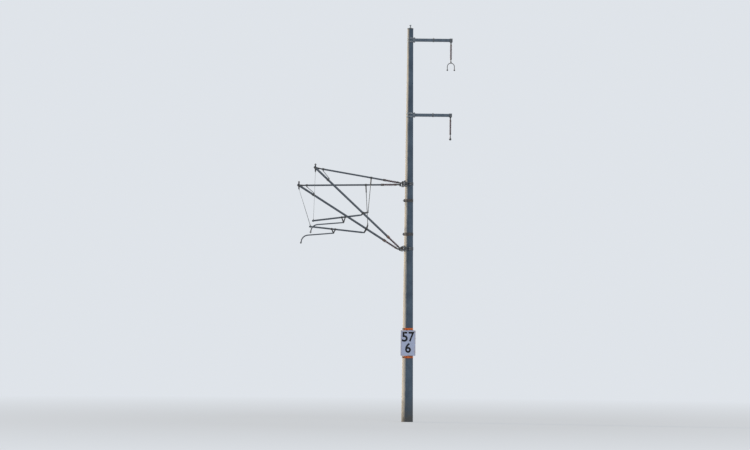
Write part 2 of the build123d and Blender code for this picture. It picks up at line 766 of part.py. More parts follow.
def make_cantilever(side, plan):
    """One whole cantilever: its swivels, insulators, tubes, clamps and steady arm."""
    y = plan["y"]
    tip = Vector(-plan["tip_out"], y, upper_hinge_height + plan["tip_rise"])
    top_fork = make_swivel(side, "upper", y, upper_hinge_height)
    low_fork = make_swivel(side, "lower", y, lower_hinge_height)
    top_way = (tip - top_fork).normalized()
    diagonal_way = (tip - low_fork).normalized()

    top_start = make_tube_insulator(f"{side}_top_insulator", top_fork, top_way, top_tube_diameter)
    top_end = tip - top_way * tip_eye_distance
    make_eyed_tube(f"{side}_top_tube", top_start, top_end, top_tube_diameter)

    name = f"{side}_diagonal_insulator"
    diagonal_start = make_tube_insulator(name, low_fork, diagonal_way, diagonal_diameter)
    diagonal_end = tip + diagonal_way * tip_overrun
    with BuildPart() as diagonal:
        add_tube(diagonal_start, diagonal_end, diagonal_diameter)
        add_bar(diagonal_end - diagonal_way * tube_wall, diagonal_end, diagonal_diameter)
    save(diagonal, f"{side}_diagonal_tube")

    wire = tip + Vector(0, 0, catenary_lift)
    with BuildPart() as tip_clamp:
        add_ring(tip, diagonal_way, diagonal_diameter, ring_length)
        add_ears(tip, diagonal_way, diagonal_diameter, ring_length)
        add_fork([(tip, eye_radius * 1.5), (top_end, eye_radius)], eye_tongue, eye_play)
        seat = wire - Vector(0, 0, catenary_clamp_height / 2)
        add_link(y, [(tip, eye_radius), (seat - Vector(0, 0, eye_radius), eye_radius)], eye_tongue)
        wire_lug = tip - Vector(0, 0, catenary_lift)
        add_link(y, [(tip, eye_radius), (wire_lug, eye_radius)], eye_tongue)
        cut_bore(tip, diagonal_way, diagonal_diameter, 3 * ring_length)
        cut_split(tip, diagonal_way, diagonal_diameter, ring_length / 2)
        pin_length = eye_tongue + 2 * (eye_play + 2 * lug_thickness)
        add_cross_pin(top_end, eye_pin_diameter, pin_length)
    save(tip_clamp, f"{side}_tip_clamp")

    with BuildPart() as catenary_clamp:
        with BuildSketch(side_plane(y)):
            with Locations((wire.X, wire.Z)):
                RectangleRounded(catenary_clamp_width, catenary_clamp_height, catenary_clamp_corner)
                Circle(catenary_wire_diameter / 2, mode=Mode.SUBTRACT)
        extrude(amount=catenary_clamp_length / 2, both=True)
    save(catenary_clamp, f"{side}_catenary_clamp")

    top_gusset = tip - top_way * gusset_top_distance
    low_gusset = tip - diagonal_way * gusset_low_distance
    top_lug = top_gusset - across(top_way) * (top_tube_diameter / 2 + ring_wall + gusset_lug)
    low_lug = low_gusset + across(diagonal_way) * (diagonal_diameter / 2 + ring_wall + gusset_lug)
    with BuildPart() as gusset:
        for centre, way, diameter, lug in (
            (top_gusset, top_way, top_tube_diameter, top_lug),
            (low_gusset, diagonal_way, diagonal_diameter, low_lug),
        ):
            add_ring(centre, way, diameter, ring_length)
            add_ears(centre, way, diameter, ring_length)
            add_link(y, [(centre, gusset_lug), (lug, gusset_lug)], eye_tongue)
            cut_bore(centre, way, diameter, ring_length)
            cut_split(centre, way, diameter, ring_length / 2)
        add_bar(top_lug, low_lug, gusset_rod_diameter)
    save(gusset, f"{side}_gusset_strut")

    joint, tube_eye, tube_end, arm_eye = registration_points(plan, low_fork, diagonal_way)
    hanger_top = along_tube(top_fork, top_way, plan["hanger_out"])
    hanger_eye = joint + across(diagonal_way) * joint_lug_up - diagonal_way * plan["hanger_shift"]
    pin_length = eye_tongue + 2 * (eye_play + 2 * lug_thickness)
    with BuildPart() as registration_joint:
        add_ring(joint, diagonal_way, diagonal_diameter, ring_length)
        add_ears(joint, diagonal_way, diagonal_diameter, ring_length)
        add_fork([(joint, eye_radius * 1.5), (hanger_eye, eye_radius)], eye_tongue, eye_play)
        add_fork([(joint, eye_radius * 1.5), (tube_eye, eye_radius)], eye_tongue, eye_play)
        cut_bore(joint, diagonal_way, diagonal_diameter, 3 * ring_length)
        cut_split(joint, diagonal_way, diagonal_diameter, ring_length / 2)
        add_cross_pin(hanger_eye, eye_pin_diameter, pin_length)
        add_cross_pin(tube_eye, eye_pin_diameter, pin_length)
    save(registration_joint, f"{side}_registration_joint")

    hanger_way = (hanger_top - hanger_eye).normalized()
    with BuildPart() as hanger:
        add_ring(hanger_top, top_way, top_tube_diameter, ring_length)
        add_ears(hanger_top, top_way, top_tube_diameter, ring_length)
        add_bar(hanger_eye + hanger_way * eye_radius, hanger_top, hanger_rod_diameter)
        sleeve_top = hanger_top - hanger_way * (top_tube_diameter / 2 + ring_wall)
        add_bar(sleeve_top - hanger_way * hanger_sleeve_length, sleeve_top, hanger_sleeve_diameter)
        shank = hanger_eye + hanger_way * 2 * eye_radius
        add_link(y, [(hanger_eye, eye_radius), (shank, hanger_rod_diameter / 2)], eye_tongue)
        cut_bore(hanger_top, top_way, top_tube_diameter, ring_length)
        cut_split(hanger_top, top_way, top_tube_diameter, ring_length / 2)
        add_cross_pin(hanger_eye, eye_pin_diameter + 2 * bolt_play, 2 * eye_tongue, Mode.SUBTRACT)
    save(hanger, f"{side}_hanger_rod")

    make_eyed_tube(f"{side}_registration_tube", tube_end, tube_eye, registration_diameter)
    tube_way = (tube_end - tube_eye).normalized()

    ring = tube_end - tube_way * support_ring_inset
    wire_foot = ring + Vector(0, 0, registration_diameter / 2 + ring_wall)
    wire_way = (wire_lug - wire_foot).normalized()
    wire_top = wire_lug - wire_way * (eye_radius + seat_gap)
    with BuildPart() as support:
        add_ring(ring, tube_way, registration_diameter, ring_length / 2)
        add_bar(ring, wire_top, support_wire_diameter)
        add_bar(ring, wire_foot + wire_way * support_knob_length, support_knob_diameter)
        add_bar(wire_top - wire_way * support_knob_length, wire_top, support_knob_diameter)
        cut_bore(ring, tube_way, registration_diameter, ring_length)
    save(support, f"{side}_support_wire")

    drop = along_tube(tube_eye, tube_way, plan["drop_out"])
    with BuildPart() as drop_bracket:
        for side_shift in (-drop_ring_spacing / 2, drop_ring_spacing / 2):
            centre = drop + tube_way * side_shift
            add_ring(centre, tube_way, registration_diameter, drop_ring_length)
            add_ears(centre, tube_way, registration_diameter, drop_ring_length)
            add_fork([(centre, drop_link_radius), (arm_eye, eye_radius)], eye_tongue, eye_play)
            cut_bore(centre, tube_way, registration_diameter, drop_ring_length)
            cut_split(centre, tube_way, registration_diameter, drop_ring_length / 2)
        add_cross_pin(arm_eye, eye_pin_diameter, pin_length)
    save(drop_bracket, f"{side}_drop_bracket")

    make_steady_arm(side, arm_eye, plan["arm_reach"])


def registration_points(plan, low_fork, diagonal_way):
    """The diagonal's joint, the registration tube's eye and end, and the steady arm's eye."""
    joint = along_tube(low_fork, diagonal_way, plan["joint_out"])
    tube_eye = joint - across(diagonal_way) * plan["lug_down"]
    tube_end = Vector(-plan["registration_out"], plan["y"], tube_eye.Z + plan["registration_rise"])
    drop = along_tube(tube_eye, (tube_end - tube_eye).normalized(), plan["drop_out"])
    return joint, tube_eye, tube_end, drop - Vector(0, 0, plan["eye_drop"])


def across(direction):
    """The direction square to a tube that runs out from the pole, turned upwards."""
    return Vector(direction.Z, 0, -direction.X)


def along_tube(start, direction, out):
    """The point on a tube's axis at a distance out from the pole's axis."""
    return start + direction * ((-out - start.X) / direction.X)


def steady_route(eye, reach):
    """The steady arm's line: its bend's start, middle and end, and the end of its tail."""
    rise, fall = radians(steady_rise), radians(steady_fall)
    bend_reach = steady_bend_radius * (sin(rise) + sin(fall)) + steady_tail * cos(fall)
    straight = (reach - bend_reach) / cos(rise)
    bend_start = eye + Vector(-cos(rise), 0, sin(rise)) * straight
    bend_centre = bend_start + Vector(-sin(rise), 0, -cos(rise)) * steady_bend_radius
    bend = [bend_start]
    for angle in (radians((steady_fall - steady_rise) / 2), fall):
        bend.append(bend_centre + Vector(-sin(angle), 0, cos(angle)) * steady_bend_radius)
    return *bend, bend[-1] + Vector(-cos(fall), 0, -sin(fall)) * steady_tail


def contact_wire(eye, reach):
    """The contact wire's place in the clamp under the steady arm's tail."""
    *_, bend_end, tail_end = steady_route(eye, reach)
    down = (tail_end - bend_end).normalized()
    return tail_end + down * (contact_clamp_height / 2 + seat_gap)


def make_steady_arm(side, eye, reach):
    """The steady arm: an eye, a straight rise, a bend down, and the contact-wire clamp."""
    bend_start, bend_middle, bend_end, tail_end = steady_route(eye, reach)
    out = (bend_start - eye).normalized()
    down = (tail_end - bend_end).normalized()
    tube_start = eye + out * (eye_radius + plug_length)
    with BuildPart() as steady_arm:
        with BuildLine():
            Line(tube_start, bend_start)
            ThreePointArc(bend_start, bend_middle, bend_end)
            Line(bend_end, tail_end)
        with BuildSketch(cross_plane(tube_start, out)):
            Circle(steady_diameter / 2)
            Circle(steady_diameter / 2 - tube_wall, mode=Mode.SUBTRACT)
        sweep()
        add_bar(tube_start, tube_start + out * plug_length, steady_diameter)
        add_bar(tail_end - down * plug_length, tail_end, steady_diameter)
        add_link(eye.Y, [(tube_start, eye_radius * 0.8), (eye, eye_radius)], eye_tongue)
        add_cross_pin(eye, eye_pin_diameter + 2 * pin_play, 2 * eye_tongue, Mode.SUBTRACT)
    save(steady_arm, f"{side}_steady_arm")

    wire = contact_wire(eye, reach)
    with BuildPart() as contact_clamp:
        with BuildSketch(side_plane(eye.Y)):
            with Locations((wire.X, wire.Z)):
                lean = steady_fall - 90
                width, depth = contact_clamp_width, contact_clamp_height
                RectangleRounded(width, depth, contact_clamp_corner, rotation=lean)
                Circle(contact_wire_diameter / 2, mode=Mode.SUBTRACT)
        extrude(amount=contact_clamp_length / 2, both=True)
    save(contact_clamp, f"{side}_contact_clamp")


def make_wire_bands():
    """The two bands round the pole, each with an eye on the track side."""
    upper_height = upper_hinge_height - wire_band_below_hinge
    with BuildPart() as wire_bands:
        for height in (upper_height, upper_height - wire_band_spacing):
            add_pole_ring(height, wire_band_height, wire_band_thickness)
            root = Vector(-pole_radius(height), 0, height)
            eye = root - Vector(seat_gap + wire_band_thickness + wire_eye_reach, 0, 0)
            add_link(0, [(root, wire_band_height / 2), (eye, wire_eye_radius)], wire_eye_thickness)
            cut_pole(height, seat_gap)
            add_cross_pin(eye, wire_eye_hole, 2 * wire_eye_thickness, Mode.SUBTRACT)
    save(wire_bands, "pole_wire_bands")


def make_board():
    """The kilometre board with its folded edge, the rail behind it and the two pole straps."""
    lower_strap = board_centre - board_height / 2 - strap_from_board - strap_height / 2
    upper_strap = board_centre + board_height / 2 + strap_from_board + strap_height / 2
    rail_back = pole_radius(lower_strap - strap_height / 2) + seat_gap + strap_thickness
    rail_face = rail_back + rail_depth
    rail_height = upper_strap - lower_strap + strap_height
    with BuildPart() as straps:
        for height in (lower_strap, upper_strap):
            add_pole_ring(height, strap_height, strap_thickness)
            with BuildSketch(Plane.XY.offset(height)):
                Rectangle(strap_lug_width, rail_back, align=(Align.CENTER, Align.MAX))
            extrude(amount=strap_height / 2, both=True)
            cut_pole(height, seat_gap)
    save(straps, "board_straps")

    with BuildPart() as rail:
        with BuildSketch(Plane.XZ.offset(rail_back)):
            with Locations((0, (lower_strap + upper_strap) / 2)):
                Rectangle(rail_width, rail_height)
        extrude(amount=rail_depth)
    save(rail, "board_rail")

    with BuildPart() as board:
        with BuildSketch(Plane.XZ.offset(rail_face)):
            with Locations((0, board_centre)):
                RectangleRounded(board_width, board_height, board_corner)
        extrude(amount=board_depth)
        with BuildSketch(Plane.XZ.offset(rail_face)):
            inner_width, inner_height = board_width - 2 * board_sheet, board_height - 2 * board_sheet
            with Locations((0, board_centre)):
                RectangleRounded(inner_width, inner_height, board_corner - board_sheet)
                Rectangle(rail_width, board_height, mode=Mode.SUBTRACT)
        extrude(amount=board_depth - board_sheet, mode=Mode.SUBTRACT)
    save(board, "number_board")


make_pole()
make_cap()
make_head_clamp()
for feeder_side, feeder_height in (("upper", upper_feeder_height), ("lower", lower_feeder_height)):
    make_feeder_arm(feeder_side, feeder_height)
    make_mid_clamp(feeder_side, feeder_height)
    make_hanging_insulator(feeder_side, feeder_height)
make_lower_wire_clamp()
make_yoke()
make_cross_beam("upper", upper_hinge_height)
make_cross_beam("lower", lower_hinge_height)
for cantilever_side, cantilever_plan in cantilevers.items():
    make_brackets(cantilever_side, cantilever_plan["y"])
    make_cantilever(cantilever_side, cantilever_plan)
make_wire_bands()
make_board()
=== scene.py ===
import bmesh
import bpy
import json
import numpy as np
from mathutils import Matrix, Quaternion, Vector


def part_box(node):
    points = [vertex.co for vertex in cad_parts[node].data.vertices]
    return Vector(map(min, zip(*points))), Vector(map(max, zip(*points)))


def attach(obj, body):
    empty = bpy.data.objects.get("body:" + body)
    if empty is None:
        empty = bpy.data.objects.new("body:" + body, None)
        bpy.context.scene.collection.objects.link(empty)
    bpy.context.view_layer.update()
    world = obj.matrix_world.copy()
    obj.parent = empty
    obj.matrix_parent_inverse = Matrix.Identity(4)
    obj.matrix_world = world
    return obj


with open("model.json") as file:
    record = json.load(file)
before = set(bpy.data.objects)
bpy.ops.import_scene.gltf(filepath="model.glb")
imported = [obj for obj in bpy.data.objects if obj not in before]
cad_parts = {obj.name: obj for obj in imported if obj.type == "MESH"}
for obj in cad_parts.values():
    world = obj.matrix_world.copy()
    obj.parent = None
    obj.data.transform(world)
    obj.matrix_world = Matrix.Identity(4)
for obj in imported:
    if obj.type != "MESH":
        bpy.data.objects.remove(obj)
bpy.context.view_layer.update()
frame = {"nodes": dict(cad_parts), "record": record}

# The stage: a wide pale floor disc at the foot's height, a low warm key light behind the mast's left,
# as a late sun stands, a weak cool fill from the front right, and a camera with a long lens, far off
# and 3.2 m above the floor.
floor_radius = 260.0
floor_rings = np.linspace(0.0, 1.0, 40) ** 2
floor_colour = (0.60, 0.61, 0.62)
fade_start, fade_end = 7.0, 40.0
background = (0.74, 0.775, 0.82)
sky_colour = (0.82, 0.90, 1.0)
sky_strength = 0.50
lamps = (
    ("low_key", (1.0, 0.84, 0.64), 3.7, 4, (-0.93, 0.36, 0.26)),
    ("front_fill", (0.90, 0.95, 1.0), 0.9, 40, (0.45, -0.80, 0.45)),
)
eye = Vector((-5.9, -120.0, 3.2))
aim = Vector((-1.1, 0.0, 6.4))
camera_lens = 177
camera_roll = np.radians(0.5)
merge_gap = 1e-6
sharp_from = np.radians(32)


def feed(tree, socket, value):
    """Link the output of another node to a socket, or set the socket's own value."""
    if isinstance(value, bpy.types.NodeSocket):
        tree.links.new(value, socket)
    else:
        socket.default_value = (*value, 1.0) if socket.type == "RGBA" else value


def add_node(tree, kind, links=None, **settings):
    """A shader node in a tree; links are values, or outputs of other nodes, for its inputs."""
    node = tree.nodes.new("ShaderNode" + kind)
    for name, value in settings.items():
        setattr(node, name, value)
    for name, value in (links or {}).items():
        feed(tree, node.inputs[name], value)
    return node


def work_out(tree, operation, first, second=0.5):
    """One step of arithmetic on two values."""
    return add_node(tree, "Math", {0: first, 1: second}, operation=operation).outputs[0]


def times(tree, first, second):
    """Two values multiplied."""
    return work_out(tree, "MULTIPLY", first, second)


def work_vectors(tree, operation, first, second=(0.0, 0.0, 0.0)):
    """One step of arithmetic on two vectors; a length or a dot product is a value, the rest vectors."""
    outputs = add_node(tree, "VectorMath", {0: first, 1: second}, operation=operation).outputs
    return outputs["Value" if operation in ("LENGTH", "DOT_PRODUCT") else "Vector"]


def spread_range(tree, value, low, high, start=0.0, end=1.0):
    """A value taken from low..high to start..end, and held there."""
    links = {"Value": value, "From Min": low, "From Max": high, "To Min": start, "To Max": end}
    return add_node(tree, "MapRange", links).outputs[0]


def seen_rays(tree):
    """1 for rays that look at the floor or the backdrop, also by way of metal or glass, and 0 for rays
    that only gather light."""
    rays = add_node(tree, "LightPath").outputs
    seen = work_out(tree, "MAXIMUM", rays["Is Camera Ray"], rays["Is Glossy Ray"])
    return work_out(tree, "MAXIMUM", seen, rays["Is Transmission Ray"])


def add_object(name, data):
    """An object in the scene for a mesh, a lamp, a camera or a letter."""
    item = bpy.data.objects.new(name, data)
    bpy.context.scene.collection.objects.link(item)
    return item


def close_mesh(mesh):
    """Merge a mesh's doubled points and turn its faces outwards."""
    weld = bmesh.new()
    weld.from_mesh(mesh)
    bmesh.ops.remove_doubles(weld, verts=weld.verts, dist=merge_gap)
    bmesh.ops.recalc_face_normals(weld, faces=weld.faces)
    weld.to_mesh(mesh)
    weld.free()


def show_mesh(name, mesh, finish):
    """An object for a mesh, with one finish."""
    mesh.materials.clear()
    mesh.materials.append(finish)
    return add_object(name, mesh)


def lay_surface(name, points, finish, round_across=True):
    """A mesh from a grid of points, given as (pieces, along, across, 3) or without pieces. The last
    row across joins the first where it goes round, and rows that meet in one point close the ends."""
    points = np.asarray(points, float)
    points = points.reshape((-1,) + points.shape[-3:])
    index = np.arange(points[..., 0].size).reshape(points.shape[:3])
    if round_across:
        index = np.concatenate([index, index[:, :, :1]], axis=2)
    quads = (index[:, :-1, :-1], index[:, :-1, 1:], index[:, 1:, 1:], index[:, 1:, :-1])
    quads = np.stack(quads, axis=-1).reshape(-1, 4)
    mesh = bpy.data.meshes.new(name)
    mesh.from_pydata(points.reshape(-1, 3).tolist(), [], quads.tolist())
    close_mesh(mesh)
    mesh.polygons.foreach_set("use_smooth", np.ones(len(mesh.polygons), bool))
    mesh.set_sharp_from_angle(angle=sharp_from)
    return show_mesh(name, mesh, finish)


floor_finish = bpy.data.materials.new("pale_floor")
floor_finish.use_nodes = True
tree = floor_finish.node_tree
tree.nodes.clear()
distance = work_vectors(tree, "LENGTH", add_node(tree, "TexCoord").outputs["Object"])
faded = times(tree, spread_range(tree, distance, fade_start, fade_end, 0.45, 1.0), seen_rays(tree))
matt = add_node(tree, "BsdfDiffuse", {"Color": floor_colour}).outputs[0]
glow = add_node(tree, "Emission", {"Color": background}).outputs[0]
mixed = add_node(tree, "MixShader", {0: faded, 1: matt, 2: glow}).outputs[0]
add_node(tree, "OutputMaterial", {"Surface": mixed})
around = np.radians(np.arange(0, 360, 6))
reach = floor_radius * floor_rings[:, None]
floor_points = np.stack([reach * np.cos(around), reach * np.sin(around), 0 * reach * around], axis=-1)
floor = lay_surface("floor", floor_points, floor_finish)

world = bpy.data.worlds.new("studio")
bpy.context.scene.world = world
world.use_nodes = True
tree = world.node_tree
tree.nodes.clear()
soft = add_node(tree, "Background", {"Color": sky_colour, "Strength": sky_strength}).outputs[0]
backdrop = add_node(tree, "Background", {"Color": background, "Strength": 1.0}).outputs[0]
mixed = add_node(tree, "MixShader", {0: seen_rays(tree), 1: soft, 2: backdrop}).outputs[0]
add_node(tree, "OutputWorld", {"Surface": mixed})

for name, colour, strength, spread, way in lamps:
    lamp = bpy.data.lights.new(name, "SUN")
    lamp.color = colour
    lamp.energy = strength
    lamp.angle = np.radians(spread)
    add_object(name, lamp).rotation_euler = Vector(way).to_track_quat("Z", "Y").to_euler()

camera = bpy.data.cameras.new("camera")
camera.lens = camera_lens
camera.sensor_width = 36
camera.clip_end = 1000
holder = add_object("camera", camera)
holder.location = eye
roll = Quaternion((0, 0, 1), camera_roll)
holder.rotation_euler = ((aim - eye).to_track_quat("-Z", "Y") @ roll).to_euler()
bpy.context.scene.camera = holder
bpy.context.scene.view_settings.view_transform = "Standard"

# The pole: concrete spun in a steel mould, so its skin is smooth, with small air holes, two faint lines
# where the mould's halves met, rain streaks and splashed dirt above the ground. Its skin is painted a
# dark blue-grey, which is painted shade, and its side towards the low key light is painted pale and warm,
# which is painted light.
pole_foot_radius = 0.190
pole_head_radius = 0.094
pole_height = 12.8
# The direction of the side that is painted pale and warm as painted light, towards the low key light.
painted_light_side = (-0.95, 0.31, 0.0)
mould_line = (0.0035, 0.0075)
splash_height = 0.55
# The next two colours are a dark blue-grey, which is painted shade over the whole skin.
concrete_shade_pale = (0.070, 0.105, 0.146)
concrete_shade_dark = (0.036, 0.061, 0.094)
# A pale warm colour, which is painted light on the side towards the key light.
concrete_painted_light = (0.58, 0.525, 0.44)
concrete_speck = (0.205, 0.235, 0.26)
concrete_streak = (0.058, 0.077, 0.097)
concrete_seam = (0.27, 0.28, 0.285)
concrete_dirt = (0.070, 0.066, 0.058)
concrete_hole = (0.045, 0.045, 0.045)


def pole_radius(height):
    """The pole's radius at a height: straight from the foot's radius to the head's."""
    return pole_foot_radius + (pole_head_radius - pole_foot_radius) * height / pole_height


def start_group(name, inputs, outputs):
    """A node group whose sockets are values, apart from places, ways and a colour; gives its tree,
    what it is given and what it puts out."""
    tree = bpy.data.node_groups.new(name, "ShaderNodeTree")
    kinds = {"Place": "Vector", "Start": "Vector", "Way": "Vector", "Colour": "Color"}
    for side, labels in (("INPUT", inputs), ("OUTPUT", outputs)):
        for label in labels:
            kind = "NodeSocket" + kinds.get(label, "Float")
            tree.interface.new_socket(label, in_out=side, socket_type=kind)
    return tree, tree.nodes.new("NodeGroupInput").outputs, tree.nodes.new("NodeGroupOutput").inputs


def use_group(tree, group, *values):
    """The outputs of a node group placed in a tree, with its inputs in their order."""
    return add_node(tree, "Group", dict(enumerate(values)), node_tree=group).outputs


def noise(tree, place, scale, detail, roughness=0.5, output="Fac"):
    """Cloudy noise round 0.5."""
    links = {"Vector": place, "Scale": scale, "Detail": detail, "Roughness": roughness}
    return add_node(tree, "TexNoise", links).outputs[output]


def between(tree, mask, start, end):
    """A value that goes from start to end as a mask goes from 0 to 1."""
    return spread_range(tree, mask, 0.0, 1.0, start, end)


def mix_colours(tree, share, first, second):
    """The colour that goes from the first to the second as share goes from 0 to 1."""
    node = add_node(tree, "Mix", {"Factor": share}, data_type="RGBA")
    feed(tree, node.inputs[6], first)
    feed(tree, node.inputs[7], second)
    return node.outputs[2]


def lay_over(tree, base, mask, share, colour):
    """The base colour under another, which covers a share of it where the mask is 1."""
    return mix_colours(tree, times(tree, mask, share), base, colour)


def start_finish(name, patch_scale, speck_scale, metallic=0.0, specular=0.5):
    """A material with its own Principled shader; gives it, its tree, its Object coordinates, and the
    patches and the specks of its mottling."""
    finish = bpy.data.materials.new(name)
    finish.use_nodes = True
    tree = finish.node_tree
    shader = tree.nodes["Principled BSDF"].inputs
    shader["Metallic"].default_value = metallic
    shader["Specular IOR Level"].default_value = specular
    place = add_node(tree, "TexCoord").outputs["Object"]
    patches, specks = use_group(tree, mottling, place, patch_scale, speck_scale)
    return finish, tree, place, patches, specks


def end_finish(tree, base, roughness, height, depth, metallic=None):
    """Feed a finish's colour, roughness and bump to its shader; the bump's range is depth in metres."""
    shader = tree.nodes["Principled BSDF"].inputs
    bump = add_node(tree, "Bump", {"Height": height, "Distance": depth, "Strength": 1.0})
    feed(tree, shader["Base Color"], base)
    feed(tree, shader["Roughness"], roughness)
    feed(tree, shader["Normal"], bump.outputs["Normal"])
    if metallic is not None:
        feed(tree, shader["Metallic"], metallic)


def dress(finish, *nodes):
    """Give CAD nodes a finish in place of the plain one that they came with."""
    for node in nodes:
        materials = frame["nodes"][node].data.materials
        materials.clear()
        materials.append(finish)


# Mottling: soft patches and finer specks, each a mask from 0 to 1.
mottling, given, out = start_group(
    "mottling", ("Place", "Patch Scale", "Speck Scale"), ("Patches", "Specks"))
broad = noise(mottling, given["Place"], given["Patch Scale"], 6.0, 0.62)
fine = noise(mottling, given["Place"], given["Speck Scale"], 4.0, 0.7)
feed(mottling, out["Patches"], spread_range(mottling, broad, 0.36, 0.64))
feed(mottling, out["Specks"], spread_range(mottling, fine, 0.34, 0.66))

# Streaks: a mask of marks drawn out downwards, as rain leaves them.
streaks, given, out = start_group("rain_streaks", ("Place", "Scale"), ("Mask",))
drawn = add_node(streaks, "Mapping", {"Vector": given["Place"], "Scale": (1.0, 1.0, 0.045)}).outputs[0]
drawn = noise(streaks, drawn, given["Scale"], 5.0, 0.6)
feed(streaks, out["Mask"], spread_range(streaks, drawn, 0.50, 0.70))

# Pits: small round holes scattered over a surface, as a mask that is 1 in a hole.
pits, given, out = start_group("pits", ("Place", "Scale", "Size"), ("Mask",))
cells = add_node(pits, "TexVoronoi", {"Vector": given["Place"], "Scale": given["Scale"]}).outputs
chance = add_node(pits, "SeparateColor", {"Color": cells["Color"]}).outputs[0]
inside = work_out(pits, "SUBTRACT", times(pits, chance, given["Size"]), cells["Distance"])
feed(pits, out["Mask"], spread_range(pits, inside, 0.0, 0.06))

concrete, tree, place, patches, specks = start_finish("spun_concrete", 3.2, 260.0)
rain = use_group(tree, streaks, place, 17.0)[0]
holes = use_group(tree, pits, place, 105.0, 0.27)[0]
axes = add_node(tree, "SeparateXYZ", {"Vector": place}).outputs
# Painted light: the skin is painted pale and warm where it faces the key light's side, with a ragged edge
# from the patches.
outwards = work_vectors(tree, "NORMALIZE", work_vectors(tree, "MULTIPLY", place, (1.0, 1.0, 0.0)))
light_facing = work_vectors(tree, "DOT_PRODUCT", outwards, painted_light_side)
light_facing = work_out(tree, "ADD", light_facing, times(tree, patches, 0.10))
painted_light = spread_range(tree, light_facing, 0.08, 0.42, 0.0, 0.85)
seam = work_out(tree, "ABSOLUTE", work_out(tree, "SUBTRACT", axes["X"], axes["Y"]))
seam = spread_range(tree, seam, *mould_line, 1.0, 0.0)
splash = work_out(tree, "ADD", axes["Z"], times(tree, patches, -0.5))
splash = spread_range(tree, splash, -0.2, splash_height, 0.85, 0.0)
# Painted shade: a dark blue-grey, mottled by the patches.
base = mix_colours(tree, patches, concrete_shade_dark, concrete_shade_pale)
# The painted light laid over the side towards the key light.
base = mix_colours(tree, painted_light, base, concrete_painted_light)
base = lay_over(tree, base, specks, 0.20, concrete_speck)
base = lay_over(tree, base, rain, 0.50, concrete_streak)
base = lay_over(tree, base, seam, 0.45, concrete_seam)
base = mix_colours(tree, splash, base, concrete_dirt)
base = lay_over(tree, base, holes, 0.5, concrete_hole)
height = work_out(tree, "SUBTRACT", times(tree, specks, 0.35), holes)
height = work_out(tree, "ADD", height, times(tree, seam, 0.8))
end_finish(tree, base, between(tree, specks, 0.80, 0.94), height, 0.0012)
dress(concrete, "mast_pole")

# The head: a domed cap of painted sheet that keeps rain out of the hollow pole, and on it a
# galvanised clamp with two jaws on a short stem, with screws through its base and its jaws. A screw
# is given by its flats, its head's height and how far its end stands out.
head_base_top = 0.010
head_base_hole = (0.024, 0.044)
head_base_screw = (0.013, 0.006)
head_jaw_out = 0.023
head_jaw_along = 0.026
head_jaw_drop = 0.009
head_jaw_screw = (0.013, 0.006, 0.003)
head_sink = 0.0003
cap_grey = (0.055, 0.062, 0.070)
cap_faded = (0.095, 0.10, 0.105)
zinc_pale = (0.235, 0.255, 0.270)
zinc_dark = (0.120, 0.135, 0.150)
screw_pale = (0.25, 0.255, 0.25)
screw_dark = (0.11, 0.115, 0.12)
rust_bright = (0.30, 0.105, 0.030)
rust_dark = (0.085, 0.030, 0.014)

# Rust: its colour, and where it has broken through; more of it as its amount rises.
rust, given, out = start_group("rust", ("Place", "Scale", "Amount"), ("Colour", "Mask"))
bloom = noise(rust, given["Place"], given["Scale"], 7.0, 0.68)
edge = work_out(rust, "SUBTRACT", 0.76, times(rust, given["Amount"], 0.36))
grit = noise(rust, given["Place"], 420.0, 3.0)
feed(rust, out["Mask"], spread_range(rust, work_out(rust, "SUBTRACT", bloom, edge), 0.0, 0.07))
feed(rust, out["Colour"], mix_colours(rust, grit, rust_dark, rust_bright))

# Spangle: the zinc crystals of hot-dip galvanising, flat cells of slightly different tone.
spangle, given, out = start_group("spangle", ("Place", "Scale"), ("Tone",))
bent = noise(spangle, given["Place"], 90.0, 2.0, output="Color")
bent = work_vectors(spangle, "MULTIPLY", bent, (0.012, 0.012, 0.012))
moved = work_vectors(spangle, "ADD", given["Place"], bent)
cells = add_node(spangle, "TexVoronoi", {"Vector": moved, "Scale": given["Scale"]}).outputs
feed(spangle, out["Tone"], add_node(spangle, "SeparateColor", {"Color": cells["Color"]}).outputs[1])

# Edge wear: 1 along an edge, where a rounded edge's normal would turn away from the face's, and 0 on
# flat faces, broken up by fine specks.
edge_wear, given, out = start_group("edge_wear", ("Place", "Radius"), ("Mask",))
rounded = add_node(edge_wear, "Bevel", {"Radius": given["Radius"]}, samples=4).outputs["Normal"]
plain = add_node(edge_wear, "NewGeometry").outputs["Normal"]
same = work_vectors(edge_wear, "DOT_PRODUCT", rounded, plain)
along_edge = spread_range(edge_wear, same, 0.88, 0.99, 1.0, 0.0)
ragged = spread_range(edge_wear, noise(edge_wear, given["Place"], 130.0, 4.0), 0.36, 0.60)
feed(edge_wear, out["Mask"], times(edge_wear, along_edge, ragged))


def galvanised(name, dark, pale, rust_amount):
    """Weathered galvanising: zinc crystals under a dull bloom, rain streaks, bright worn edges, and a
    little rust."""
    finish, tree, place, patches, specks = start_finish(name, 7.0, 300.0)
    crystals = use_group(tree, spangle, place, 95.0)[0]
    rain = use_group(tree, streaks, place, 45.0)[0]
    worn = use_group(tree, edge_wear, place, 0.003)[0]
    rusty, broken = use_group(tree, rust, place, 16.0, rust_amount)
    tone = work_out(tree, "ADD", times(tree, crystals, 0.45), times(tree, patches, 0.55))
    base = mix_colours(tree, tone, dark, pale)
    base = lay_over(tree, base, rain, 0.6, [0.45 * part for part in dark])
    base = lay_over(tree, base, worn, 0.8, [1.55 * part for part in pale])
    base = mix_colours(tree, broken, base, rusty)
    rough = work_out(tree, "ADD", between(tree, tone, 0.42, 0.62), times(tree, broken, 0.3))
    height = work_out(tree, "ADD", specks, broken)
    end_finish(tree, base, rough, height, 0.0004, between(tree, broken, 0.55, 0.0))
    return finish


